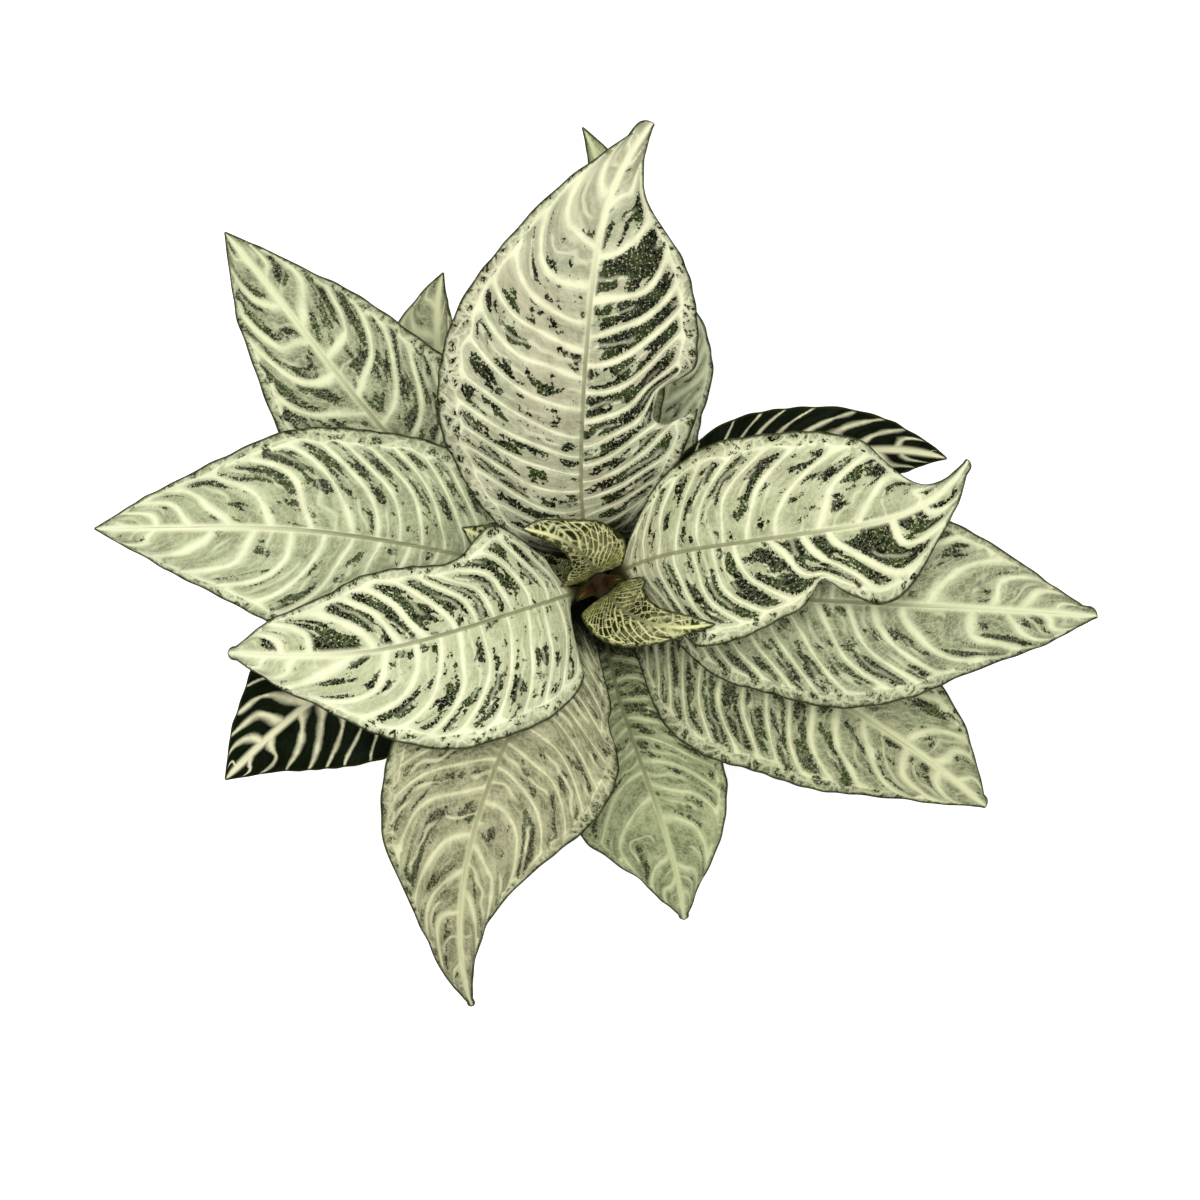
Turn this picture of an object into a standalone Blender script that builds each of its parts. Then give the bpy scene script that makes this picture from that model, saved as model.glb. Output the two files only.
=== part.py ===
"""Zebra plant in a clay pot: decussate pairs of waved, ribbed leaves on one upright stem.

Metres, +Z up. The origin is the centre of the pot's foot, on the surface that it stands on.
"""
import bpy
import bmesh
import numpy as np
from mathutils import noise

# Clay pot
POT_HEIGHT = 0.118
POT_RIM_RADIUS = 0.066
POT_BASE_RADIUS = 0.043
POT_BAND_HEIGHT = 0.027
POT_BAND_STEP = 0.0035
POT_WALL = 0.0058
POT_FLOOR = 0.008
DRAIN_RADIUS = 0.004
DRAIN_RING = 0.022
DRAIN_HOLES = 3
DRAIN_SIDES = 12
POT_SIDES = 40

# Soil
SOIL_TOP = 0.106
SOIL_LUMPS = 0.003
SOIL_LUMP_SIZE = 0.009
SOIL_RINGS = 7

# Stem
STEM_RADIUS = 0.0041
STEM_NODE_SWELL = 0.0011
STEM_NODE_REACH = 0.0045
STEM_FOOT = 0.040
STEM_TOP = 0.251
STEM_BUD_RADIUS = 0.0027
STEM_SIDES = 12

# Leaves
CLEARANCE = 0.0003
BLADE_THICKNESS = 0.0008
MIDRIB_THICKNESS = 0.0026
MIDRIB_REACH = 0.004
STALK_HALF_WIDTH = 0.0022
TIP_HALF_WIDTH = 0.0004
VEIN_SWEEP = 0.12
PLEAT = 0.0007
MIDRIB_STEPS = 160

# The heights of the leaf pairs on the stem, from the crown down
NODES = (0.243, 0.233, 0.219, 0.204, 0.190, 0.177, 0.164, 0.151, 0.139)
SIDE_SHOOT_NODE = 0.210

# Each leaf: heading from +X and pitch from level, in degrees, at even steps from stem to tip;
# the half widths left and right of the midrib at each eighth of the length; its folds; its grid.
LEAVES = {
    "leaf_1_northwest": dict(
        pair=1, length=0.047, heading=(112, 126, 142, 162, 172), pitch=(66, 60, 40, 12, -5),
        left=(0.005, 0.007, 0.007, 0.005, 0.004, 0.003, 0.002),
        right=(0.012, 0.015, 0.015, 0.014, 0.010, 0.007, 0.005),
        wave=0.0006, rows=10, look="leaf_young"),
    "leaf_1_southeast": dict(
        pair=1, length=0.059, heading=(-50, -44, -24, -2, 12), pitch=(66, 60, 42, 14, -4),
        left=(0.008, 0.012, 0.012, 0.010, 0.008, 0.007, 0.004),
        right=(0.014, 0.015, 0.014, 0.012, 0.007, 0.004, 0.002),
        wave=0.0006, rows=10, look="leaf_young"),
    "leaf_2_west": dict(
        pair=2, length=0.160, heading=(198, 198, 195, 182, 176), pitch=(58, 32, 8, -12, -25),
        left=(0.010, 0.041, 0.046, 0.045, 0.035, 0.021, 0.011),
        right=(0.019, 0.034, 0.027, 0.030, 0.030, 0.023, 0.014),
        rows=20, look="leaf_pale"),
    "leaf_2_east": dict(
        pair=2, length=0.168, heading=(33, 11, 8, 20, 52), pitch=(60, 36, 8, -12, -12),
        left=(0.016, 0.034, 0.042, 0.043, 0.041, 0.031, 0.008),
        right=(0.015, 0.035, 0.038, 0.031, 0.028, 0.028, 0.011),
        folds=(dict(side=-1, at=0.70, reach=0.06, pull=-0.005, lift=0.004),
               dict(side=-1, at=0.58, reach=0.035, pull=0.006, lift=-0.002)),
        rows=22, look="leaf_pale"),
    "leaf_3_north": dict(
        pair=3, length=0.201, heading=(110, 91, 86, 79, 49), pitch=(56, 38, 18, 0, -12),
        left=(0.026, 0.045, 0.056, 0.057, 0.049, 0.031, 0.013),
        right=(0.020, 0.034, 0.043, 0.044, 0.042, 0.033, 0.014),
        edge_lift=(14, 4),
        folds=(dict(side=-1, at=0.42, reach=0.03, pull=0.012, lift=-0.005),),
        rows=24, look="leaf_pale"),
    "leaf_3_south": dict(
        pair=3, length=0.198, heading=(237, 239, 250, 265, 286), pitch=(52, 30, 5, -22, -40),
        left=(0.014, 0.034, 0.046, 0.044, 0.030, 0.014, 0.006),
        right=(0.014, 0.030, 0.042, 0.042, 0.036, 0.021, 0.010),
        folds=(dict(side=1, at=0.27, reach=0.03, pull=0.004, lift=0.003),),
        rows=22, look="leaf_pale"),
    "leaf_4_west": dict(
        pair=4, length=0.211, heading=(168, 168, 172, 180, 180), pitch=(46, 28, 10, -8, -18),
        left=(0.014, 0.030, 0.038, 0.042, 0.040, 0.028, 0.015),
        right=(0.014, 0.032, 0.042, 0.043, 0.040, 0.028, 0.015),
        rows=20, look="leaf_pale"),
    "leaf_4_east": dict(
        pair=4, length=0.206, heading=(-5, -4, -3, -3, -5), pitch=(46, 28, 10, -8, -18),
        left=(0.014, 0.030, 0.038, 0.042, 0.040, 0.029, 0.015),
        right=(0.014, 0.032, 0.039, 0.043, 0.038, 0.026, 0.015),
        rows=20, look="leaf_pale"),
    "leaf_5_northwest": dict(
        pair=5, length=0.217, heading=(160, 144, 132, 128, 130), pitch=(42, 25, 8, -10, -20),
        left=(0.012, 0.024, 0.034, 0.038, 0.034, 0.025, 0.016),
        right=(0.012, 0.028, 0.038, 0.040, 0.034, 0.026, 0.013),
        rows=20, look="leaf_pale"),
    "leaf_5_southeast": dict(
        pair=5, length=0.185, heading=(-23, -25, -29, -34, -42), pitch=(40, 22, 5, -12, -22),
        left=(0.012, 0.026, 0.034, 0.036, 0.034, 0.028, 0.017),
        right=(0.020, 0.040, 0.046, 0.042, 0.037, 0.027, 0.015),
        rows=20, look="leaf_pale"),
    "leaf_6_north": dict(
        pair=6, length=0.194, heading=(90, 87, 88, 92, 118), pitch=(46, 28, 10, -6, -18),
        left=(0.008, 0.016, 0.022, 0.022, 0.015, 0.007, 0.005),
        right=(0.008, 0.016, 0.022, 0.022, 0.015, 0.007, 0.004),
        rows=16, look="leaf_pale"),
    "leaf_6_south": dict(
        pair=6, length=0.151, heading=(-86, -76, -70, -74, -84), pitch=(42, 20, -5, -25, -40),
        left=(0.012, 0.024, 0.031, 0.032, 0.031, 0.021, 0.009),
        right=(0.012, 0.024, 0.032, 0.036, 0.034, 0.024, 0.011),
        rows=18, look="leaf_pale"),
    "leaf_7_southwest": dict(
        pair=7, length=0.182, heading=(194, 196, 206, 218, 226), pitch=(42, 25, 5, -12, -22),
        left=(0.010, 0.020, 0.028, 0.034, 0.038, 0.030, 0.016),
        right=(0.010, 0.020, 0.028, 0.035, 0.036, 0.029, 0.016),
        rows=18, look="leaf_dark"),
    "leaf_7_northeast": dict(
        pair=7, length=0.161, heading=(38, 34, 25, 8, -16), pitch=(42, 25, 8, -8, -20),
        left=(0.008, 0.017, 0.027, 0.030, 0.026, 0.019, 0.010),
        right=(0.008, 0.018, 0.026, 0.028, 0.024, 0.018, 0.010),
        rows=18, look="leaf_dark"),
    "leaf_8_northwest": dict(
        pair=8, length=0.156, heading=(142, 134, 122, 98, 78), pitch=(40, 22, 8, -8, -18),
        left=(0.008, 0.016, 0.024, 0.030, 0.030, 0.026, 0.015),
        right=(0.008, 0.018, 0.024, 0.026, 0.022, 0.014, 0.006),
        rows=14, look="leaf_pale"),
    "leaf_8_southeast": dict(
        pair=8, length=0.112, heading=(-38, -34, -32, -32, -34), pitch=(34, 12, -10, -30, -42),
        left=(0.008, 0.016, 0.022, 0.024, 0.020, 0.013, 0.006),
        right=(0.008, 0.016, 0.022, 0.024, 0.020, 0.013, 0.006),
        rows=12, look="leaf_dark"),
    "leaf_9_northeast": dict(
        pair=9, length=0.128, heading=(70, 71, 72, 76, 84), pitch=(40, 22, 8, -8, -18),
        left=(0.008, 0.018, 0.026, 0.028, 0.024, 0.016, 0.008),
        right=(0.008, 0.018, 0.020, 0.020, 0.018, 0.018, 0.012),
        rows=14, look="leaf_pale"),
    "leaf_9_southwest": dict(
        pair=9, length=0.115, heading=(250, 248, 246, 248, 252), pitch=(30, 10, -10, -30, -42),
        left=(0.008, 0.016, 0.022, 0.024, 0.020, 0.013, 0.006),
        right=(0.008, 0.016, 0.022, 0.024, 0.020, 0.013, 0.006),
        rows=12, look="leaf_dark"),
    "side_shoot_leaf": dict(
        pair=None, length=0.064, heading=(160, 160, 158, 158, 160), pitch=(34, 44, 44, 28, 12),
        left=(0.005, 0.008, 0.010, 0.010, 0.008, 0.006, 0.003),
        right=(0.004, 0.006, 0.007, 0.007, 0.006, 0.004, 0.002),
        wave=0.0006, rows=10, look="leaf_young"),
}

COLOURS = {
    "terracotta": dict(colour=(0.50, 0.19, 0.085), roughness=0.85),
    "soil": dict(colour=(0.035, 0.022, 0.014), roughness=0.95),
    "stem": dict(colour=(0.060, 0.035, 0.028), roughness=0.50),
    "leaf_pale": dict(colour=(0.50, 0.56, 0.38), roughness=0.42),
    "leaf_dark": dict(colour=(0.030, 0.050, 0.022), roughness=0.40),
    "leaf_young": dict(colour=(0.13, 0.16, 0.045), roughness=0.40),
}


def clear_scene():
    for item in list(bpy.data.objects):
        bpy.data.objects.remove(item, do_unlink=True)


def material(name):
    found = bpy.data.materials.get(name)
    if found:
        return found
    made = bpy.data.materials.new(name)
    made.use_nodes = True
    shader = made.node_tree.nodes["Principled BSDF"]
    look = COLOURS[name]
    shader.inputs["Base Color"].default_value = (*look["colour"], 1.0)
    shader.inputs["Roughness"].default_value = look["roughness"]
    shader.inputs["Metallic"].default_value = 0.0
    return made


def add_object(name, mesh, look, collection):
    item = bpy.data.objects.new(name, mesh)
    item.data.materials.append(material(look))
    collection.objects.link(item)
    return item


def turned(name, profile, sides, look, collection):
    """A solid turned about Z from a closed profile, or from one that ends on the axis."""
    mesh = bpy.data.meshes.new(name)
    points = [(radius, 0.0, height) for radius, height in profile]
    edges = [(i, i + 1) for i in range(len(points) - 1)]
    if profile[0][0] > 0.0:
        edges.append((len(points) - 1, 0))
    mesh.from_pydata(points, edges, [])
    item = add_object(name, mesh, look, collection)
    screw = item.modifiers.new("turn", "SCREW")
    screw.steps = sides
    screw.render_steps = sides
    screw.use_merge_vertices = True
    screw.merge_threshold = 0.00005
    return item


def add_cutter(name, radius, depth, place, collection):
    """A cylinder that is only cut with, centred on its place."""
    mesh = bpy.data.meshes.new(name)
    shape = bmesh.new()
    bmesh.ops.create_cone(shape, cap_ends=True, segments=DRAIN_SIDES, radius1=radius, radius2=radius, depth=depth)
    shape.to_mesh(mesh)
    shape.free()
    item = bpy.data.objects.new(name, mesh)
    item.location = place
    item.hide_render = True
    item.display_type = "WIRE"
    collection.objects.link(item)
    return item


def bake_modifiers(item):
    """Replace the object's mesh with the mesh that its modifiers make."""
    depsgraph = bpy.context.evaluated_depsgraph_get()
    mesh = bpy.data.meshes.new_from_object(item.evaluated_get(depsgraph))
    item.modifiers.clear()
    item.data = mesh


def pot_inner_radius(height):
    """Inner radius of the pot's wall at a height above the foot."""
    share = height / POT_HEIGHT
    outer = POT_BASE_RADIUS + share * (POT_RIM_RADIUS - POT_BAND_STEP - POT_BASE_RADIUS)
    return outer - POT_WALL


def add_pot(collection, cutters):
    band_foot = POT_HEIGHT - POT_BAND_HEIGHT
    shoulder = POT_RIM_RADIUS - POT_BAND_STEP
    lip = 0.0015
    profile = [
        (0.0, POT_FLOOR),
        (pot_inner_radius(POT_FLOOR) - 0.002, POT_FLOOR),
        (pot_inner_radius(POT_FLOOR + 0.002), POT_FLOOR + 0.002),
        (pot_inner_radius(POT_HEIGHT), POT_HEIGHT - lip),
        (pot_inner_radius(POT_HEIGHT) + lip, POT_HEIGHT),
        (POT_RIM_RADIUS - lip, POT_HEIGHT),
        (POT_RIM_RADIUS, POT_HEIGHT - lip),
        (POT_RIM_RADIUS - 0.001, band_foot + lip),
        (POT_RIM_RADIUS - 0.002, band_foot),
        (shoulder - 0.0055, band_foot - 0.0005),
        (POT_BASE_RADIUS + 0.0006, 0.002),
        (POT_BASE_RADIUS - 0.001, 0.0),
        (0.0, 0.0),
    ]
    pot = turned("pot", profile, POT_SIDES, "terracotta", collection)
    for number in range(DRAIN_HOLES):
        angle = 2.0 * np.pi * number / DRAIN_HOLES
        place = (DRAIN_RING * np.cos(angle), DRAIN_RING * np.sin(angle), POT_FLOOR / 2)
        drill = add_cutter("drain_drill_%d" % (number + 1), DRAIN_RADIUS, 2 * POT_FLOOR, place, cutters)
        cut = pot.modifiers.new("drain hole %d" % (number + 1), "BOOLEAN")
        cut.operation = "DIFFERENCE"
        cut.object = drill
    return pot


def stem_radius(height):
    """Radius of the stem, swollen at each leaf pair."""
    taper = np.clip((STEM_TOP - height) / (STEM_TOP - NODES[1]), 0.0, 1.0)
    radius = STEM_BUD_RADIUS + (STEM_RADIUS - STEM_BUD_RADIUS) * taper
    swell = sum(np.exp(-((height - node) / STEM_NODE_REACH) ** 2) for node in NODES)
    return radius + STEM_NODE_SWELL * min(swell, 1.0)


def add_stem(collection):
    heights = [STEM_TOP, STEM_TOP - 0.002]
    for upper, lower in zip(NODES[:-1], NODES[1:]):
        heights += [upper, upper - (upper - lower) / 2]
    heights += [NODES[-1], NODES[-1] - 0.007, SOIL_TOP, STEM_FOOT + 0.004]
    profile = [(0.0, STEM_TOP + 0.003)]
    profile += [(stem_radius(height), height) for height in heights]
    profile += [(STEM_RADIUS * 0.7, STEM_FOOT), (0.0, STEM_FOOT)]
    return turned("stem", profile, STEM_SIDES, "stem", collection)


def add_soil(collection):
    """Potting soil: a turned block with a plain hole for the stem, its top raised in lumps."""
    hole = STEM_RADIUS + CLEARANCE
    top_radius = pot_inner_radius(SOIL_TOP) - CLEARANCE
    floor = POT_FLOOR + 0.002 + 2 * CLEARANCE
    bottom_radius = pot_inner_radius(floor) - CLEARANCE
    hole_foot = STEM_FOOT - CLEARANCE
    rings = np.linspace(hole, top_radius, SOIL_RINGS)
    profile = [(0.0, hole_foot), (hole, hole_foot)]
    profile += [(radius, SOIL_TOP) for radius in rings]
    profile += [(bottom_radius, floor), (0.0, floor)]
    item = turned("soil", profile, POT_SIDES, "soil", collection)
    bake_modifiers(item)
    for vertex in item.data.vertices:
        radius = np.hypot(vertex.co.x, vertex.co.y)
        if vertex.co.z < SOIL_TOP - 0.001 or radius < hole + 0.001:
            continue
        edge = min(1.0, (top_radius - radius) / 0.01)
        lump = noise.noise(vertex.co / SOIL_LUMP_SIZE)
        vertex.co.z += SOIL_LUMPS * lump * edge
    return item


def smooth_step(x):
    x = np.clip(x, 0.0, 1.0)
    return x * x * (3.0 - 2.0 * x)


def through(values, t):
    """A smooth curve through values that stand at even steps of t from 0 to 1."""
    v = np.asarray(values, float)
    last = len(v) - 1
    x = np.clip(t, 0.0, 1.0) * last
    i = np.minimum(x.astype(int), last - 1)
    f = x - i
    padded = np.concatenate([[2 * v[0] - v[1]], v, [2 * v[-1] - v[-2]]])
    a, b, c, d = padded[i], padded[i + 1], padded[i + 2], padded[i + 3]
    return b + 0.5 * f * (c - a + f * (2 * a - 5 * b + 4 * c - d + f * (3 * (b - c) + d - a)))


def midrib(leaf):
    """Points of the midrib from the stem to the tip, with the directions to its left and up."""
    t = np.linspace(0.0, 1.0, MIDRIB_STEPS + 1)
    heading = np.radians(through(leaf["heading"], t))
    pitch = np.radians(through(leaf["pitch"], t))
    level = np.cos(pitch)
    forward = np.stack([level * np.cos(heading), level * np.sin(heading), np.sin(pitch)], 1)
    steps = (forward[1:] + forward[:-1]) / 2 * leaf["length"] / MIDRIB_STEPS
    node = NODES[leaf["pair"] - 1] if leaf["pair"] else SIDE_SHOOT_NODE
    start = stem_radius(node) + 0.0004
    root = np.array([start * np.cos(heading[0]), start * np.sin(heading[0]), node])
    points = root + np.vstack([np.zeros(3), np.cumsum(steps, 0)])
    left = np.cross([0.0, 0.0, 1.0], forward)
    left /= np.linalg.norm(left, axis=1)[:, None]
    up = np.cross(forward, left)
    return points, left, up


def half_width(leaf, t, side):
    widths = leaf["left"] if side > 0 else leaf["right"]
    return np.maximum(through((STALK_HALF_WIDTH, *widths, TIP_HALF_WIDTH), t), TIP_HALF_WIDTH)


def blade_point(leaf, line, row, across):
    """A point of the blade's upper face. Rows follow the side veins, which sweep to the tip."""
    points, left, up = line
    out = abs(across)
    side = 1 if across >= 0.0 else -1
    sweep = VEIN_SWEEP * out * 4.0 * row * (1.0 - row) * (1.0 - 0.25 * out)
    t = np.array([min(row + sweep, 1.0)])
    width = half_width(leaf, t, side)[0]
    t = t[0]
    reach = out * width
    lift_angle = np.radians(leaf.get("edge_lift", (14, 14))[0 if side > 0 else 1])
    lift_angle *= 1.0 - 0.6 * smooth_step((t - 0.7) / 0.3)
    free = smooth_step((t - 0.12) / 0.2) * smooth_step((1.0 - t) / 0.12)
    turns = 3.0 * t + (0.0 if side > 0 else 0.37)
    rise = leaf.get("wave", 0.002) * out ** 2 * np.sin(2.0 * np.pi * turns) * free
    for fold in leaf.get("folds", ()):
        if fold["side"] == side:
            crease = np.exp(-((t - fold["at"]) / fold["reach"]) ** 2) * out ** 3
            reach -= fold["pull"] * crease
            rise += fold["lift"] * crease
    veins = leaf["rows"] / 2
    rise += PLEAT * np.cos(2.0 * np.pi * veins * row) * 4.0 * out * (1.0 - out) * free
    rise += reach * np.sin(lift_angle) - 0.2 * reach * reach / width
    place = t * MIDRIB_STEPS
    i = min(int(place), MIDRIB_STEPS - 1)
    f = place - i
    middle = points[i] * (1 - f) + points[i + 1] * f
    to_left = left[i] * (1 - f) + left[i + 1] * f
    to_up = up[i] * (1 - f) + up[i + 1] * f
    return middle + to_left * side * reach * np.cos(lift_angle) + to_up * rise


def add_leaf(name, leaf, collection):
    """A waved blade with its veins pressed in as pleats, on a stalk that runs on as the midrib."""
    columns = 6 if leaf["rows"] < 15 else 8
    grid = bmesh.new()
    bmesh.ops.create_grid(grid, x_segments=leaf["rows"], y_segments=columns, size=1.0)
    bmesh.ops.triangulate(grid, faces=grid.faces, quad_method="FIXED")
    line = midrib(leaf)
    thickness = []
    for vertex in grid.verts:
        row = (vertex.co.x + 1.0) / 2.0
        even = vertex.co.y
        across = np.sign(even) * (0.4 * abs(even) + 0.6 * even * even)
        side = 1 if across >= 0.0 else -1
        width = half_width(leaf, np.array([row]), side)[0]
        near = np.exp(-(across * width / MIDRIB_REACH) ** 2) * (1.0 - row) ** 0.5
        thickness.append(BLADE_THICKNESS + (MIDRIB_THICKNESS - BLADE_THICKNESS) * near)
        vertex.co = blade_point(leaf, line, row, across)
    mesh = bpy.data.meshes.new(name)
    grid.to_mesh(mesh)
    grid.free()
    item = add_object(name, mesh, leaf["look"], collection)
    group = item.vertex_groups.new(name="thickness")
    for index, value in enumerate(thickness):
        group.add([index], value / MIDRIB_THICKNESS, "REPLACE")
    shell = item.modifiers.new("thickness", "SOLIDIFY")
    shell.thickness = MIDRIB_THICKNESS
    shell.offset = -1.0
    shell.vertex_group = group.name
    mesh.shade_smooth()
    return item


def build():
    clear_scene()
    plant = bpy.data.collections.new("zebra_plant")
    cutters = bpy.data.collections.new("cutters")
    bpy.context.scene.collection.children.link(plant)
    bpy.context.scene.collection.children.link(cutters)
    add_pot(plant, cutters)
    add_soil(plant)
    add_stem(plant)
    for name, leaf in LEAVES.items():
        add_leaf(name, leaf, plant)


build()
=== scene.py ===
"""Zebra plant in a clay pot, dressed for a look from above."""
import math
import random

import bmesh
import bpy
import numpy as np
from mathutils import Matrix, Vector, noise


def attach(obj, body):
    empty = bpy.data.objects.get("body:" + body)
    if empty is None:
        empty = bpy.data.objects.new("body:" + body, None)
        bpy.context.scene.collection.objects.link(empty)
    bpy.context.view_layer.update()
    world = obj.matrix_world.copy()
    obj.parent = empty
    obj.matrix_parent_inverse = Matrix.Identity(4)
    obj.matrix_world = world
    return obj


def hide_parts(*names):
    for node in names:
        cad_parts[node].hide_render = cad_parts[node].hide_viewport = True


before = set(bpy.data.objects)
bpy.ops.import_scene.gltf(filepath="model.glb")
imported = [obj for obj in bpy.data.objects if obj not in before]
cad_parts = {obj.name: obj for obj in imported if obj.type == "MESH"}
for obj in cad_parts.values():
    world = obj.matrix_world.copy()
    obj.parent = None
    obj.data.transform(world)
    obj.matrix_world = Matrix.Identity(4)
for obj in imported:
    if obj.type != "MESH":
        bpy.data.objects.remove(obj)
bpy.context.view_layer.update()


# Clay pot
# A thrown flower pot of fired red clay with a plain rim band, bare of glaze. It was turned on
# a wheel, so its wall carries faint rings, and salts from the water have dried on it as a bloom.
POT_HEIGHT = 0.118
POT_RIM_RADIUS = 0.066
POT_BASE_RADIUS = 0.043
POT_BAND_HEIGHT = 0.027
POT_BAND_STEP = 0.0035
POT_WALL = 0.0058
POT_FLOOR = 0.008
POT_SIDES = 120
DRAIN_RADIUS = 0.004
DRAIN_RING = 0.022
DRAIN_HOLES = 3

CLAY = (0.56, 0.22, 0.105)
CLAY_DARK = (0.38, 0.13, 0.060)
CLAY_SALT = (0.70, 0.56, 0.47)


def put(tree, kind, inputs=None, **settings):
    """A node with its settings, its sockets filled by name or number with values or links."""
    made = tree.nodes.new(kind)
    for name, value in settings.items():
        setattr(made, name, value)
    for name, value in (inputs or {}).items():
        if isinstance(value, bpy.types.NodeSocket):
            tree.links.new(value, made.inputs[name])
        else:
            made.inputs[name].default_value = value
    return made


def calc(tree, operation, first, second=0.0, third=None, clamp=False):
    """One step of arithmetic on numbers or links."""
    inputs = {0: first, 1: second}
    if third is not None:
        inputs[2] = third
    return put(tree, "ShaderNodeMath", inputs, operation=operation, use_clamp=clamp).outputs[0]


def step(tree, value, low, high):
    """A smooth change from 0 at low to 1 at high. Low may be the greater one."""
    inputs = {"Value": value, "From Min": low, "From Max": high}
    made = put(tree, "ShaderNodeMapRange", inputs, interpolation_type="SMOOTHSTEP")
    return made.outputs["Result"]


def blend(tree, share, first, second, how="MIX"):
    """Two colours mixed by a share of 0 to 1."""
    colours = [c if isinstance(c, bpy.types.NodeSocket) else (*c, 1.0) for c in (first, second)]
    made = put(tree, "ShaderNodeMix", {0: share, 6: colours[0], 7: colours[1]},
               data_type="RGBA", blend_type=how)
    return made.outputs[2]


def speckle_noise(tree, place, scale, detail=2.0, rough=0.5):
    inputs = {"Vector": place, "Scale": scale, "Detail": detail, "Roughness": rough}
    return put(tree, "ShaderNodeTexNoise", inputs).outputs["Fac"]


def new_group(name, inputs, outputs):
    """An empty shader node group with its named sockets."""
    group = bpy.data.node_groups.new(name, "ShaderNodeTree")
    kinds = {"value": "NodeSocketFloat", "place": "NodeSocketVector", "colour": "NodeSocketColor"}
    for socket, kind in inputs:
        group.interface.new_socket(socket, in_out="INPUT", socket_type=kinds[kind])
    for socket, kind in outputs:
        group.interface.new_socket(socket, in_out="OUTPUT", socket_type=kinds[kind])
    return group, group.nodes.new("NodeGroupInput").outputs, group.nodes.new("NodeGroupOutput")


def use_group(tree, group, **inputs):
    """The group placed in a material, its inputs filled by name."""
    made = tree.nodes.new("ShaderNodeGroup")
    made.node_tree = group
    for name, value in inputs.items():
        socket = made.inputs[name.replace("_", " ")]
        if isinstance(value, bpy.types.NodeSocket):
            tree.links.new(value, socket)
        else:
            socket.default_value = value
    return made.outputs


def new_material(name, roughness, specular=0.5):
    """A material and its Principled shader, with the values that don't change over the surface."""
    made = bpy.data.materials.new(name)
    made.use_nodes = True
    shader = made.node_tree.nodes["Principled BSDF"]
    shader.inputs["Roughness"].default_value = roughness
    shader.inputs["Specular IOR Level"].default_value = specular
    return made, made.node_tree, shader


def raise_surface(tree, shader, height, distance, strength=1.0):
    """Feeds the shader's normal from a height in 0 to 1, worth a distance in metres."""
    inputs = {"Height": height, "Distance": distance, "Strength": strength}
    tree.links.new(put(tree, "ShaderNodeBump", inputs).outputs["Normal"], shader.inputs["Normal"])


def object_place(tree):
    """Places on the piece in metres. Every piece's origin is the pot's foot."""
    return put(tree, "ShaderNodeTexCoord").outputs["Object"]


def grit_group():
    """Fine grit: a mottle for colour and a grain for height, at sizes given in grains a metre."""
    group, given, out = new_group(
        "fine grit", [("Place", "place"), ("Scale", "value")],
        [("Mottle", "value"), ("Grain", "value")])
    coarse = calc(group, "MULTIPLY", given["Scale"], 0.12)
    mottle = speckle_noise(group, given["Place"], coarse, 5.0, 0.6)
    grain = speckle_noise(group, given["Place"], given["Scale"], 3.0, 0.7)
    group.links.new(mottle, out.inputs["Mottle"])
    group.links.new(grain, out.inputs["Grain"])
    return group


GRIT = grit_group()


def turned(name, profile, sides):
    """A solid turned about Z from a profile that runs down its outer side, ended on the axis."""
    mesh = bpy.data.meshes.new(name)
    points = [(radius, 0.0, height) for radius, height in profile]
    mesh.from_pydata(points, [(i, i + 1) for i in range(len(points) - 1)], [])
    piece = bpy.data.objects.new(name, mesh)
    bpy.context.scene.collection.objects.link(piece)
    screw = piece.modifiers.new("turn", "SCREW")
    screw.steps = sides
    screw.render_steps = sides
    screw.use_merge_vertices = True
    screw.merge_threshold = 0.00002
    return piece


def apply_modifiers(piece):
    """Keeps the mesh that the modifiers make."""
    depsgraph = bpy.context.evaluated_depsgraph_get()
    mesh = bpy.data.meshes.new_from_object(piece.evaluated_get(depsgraph))
    piece.modifiers.clear()
    piece.data = mesh


def pot_inner_radius(height):
    outer = POT_BASE_RADIUS + height / POT_HEIGHT * (POT_RIM_RADIUS - POT_BAND_STEP - POT_BASE_RADIUS)
    return outer - POT_WALL


def round_corner(before, corner, after, radius, steps=4):
    """Points of an arc-like bend that replaces a corner of a profile."""
    before, corner, after = (Vector((p[0], p[1], 0.0)) for p in (before, corner, after))
    start = corner + (before - corner).normalized() * radius
    end = corner + (after - corner).normalized() * radius
    bend = []
    for i in range(steps + 1):
        f = i / steps
        point = start * (1 - f) ** 2 + corner * 2 * f * (1 - f) + end * f * f
        bend.append((point.x, point.y))
    return bend


def pot_profile():
    band_foot = POT_HEIGHT - POT_BAND_HEIGHT
    shoulder = POT_RIM_RADIUS - POT_BAND_STEP
    corners = [
        (0.0, POT_FLOOR),
        (pot_inner_radius(POT_FLOOR), POT_FLOOR),
        (pot_inner_radius(POT_HEIGHT), POT_HEIGHT),
        (POT_RIM_RADIUS, POT_HEIGHT),
        (POT_RIM_RADIUS - 0.001, band_foot),
        (shoulder - 0.0055, band_foot - 0.0002),
        (POT_BASE_RADIUS, 0.0),
        (0.0, 0.0),
    ]
    bends = [0.003, 0.0022, 0.0026, 0.0016, 0.0018, 0.0016]
    profile = [corners[0]]
    for i, radius in enumerate(bends, start=1):
        profile += round_corner(corners[i - 1], corners[i], corners[i + 1], radius)
    profile.append(corners[-1])
    dense = [profile[0]]
    for (r0, h0), (r1, h1) in zip(profile[:-1], profile[1:]):
        parts = max(1, int(math.hypot(r1 - r0, h1 - h0) / 0.004))
        dense += [(r0 + (r1 - r0) * k / parts, h0 + (h1 - h0) * k / parts) for k in range(1, parts + 1)]
    return dense


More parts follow.
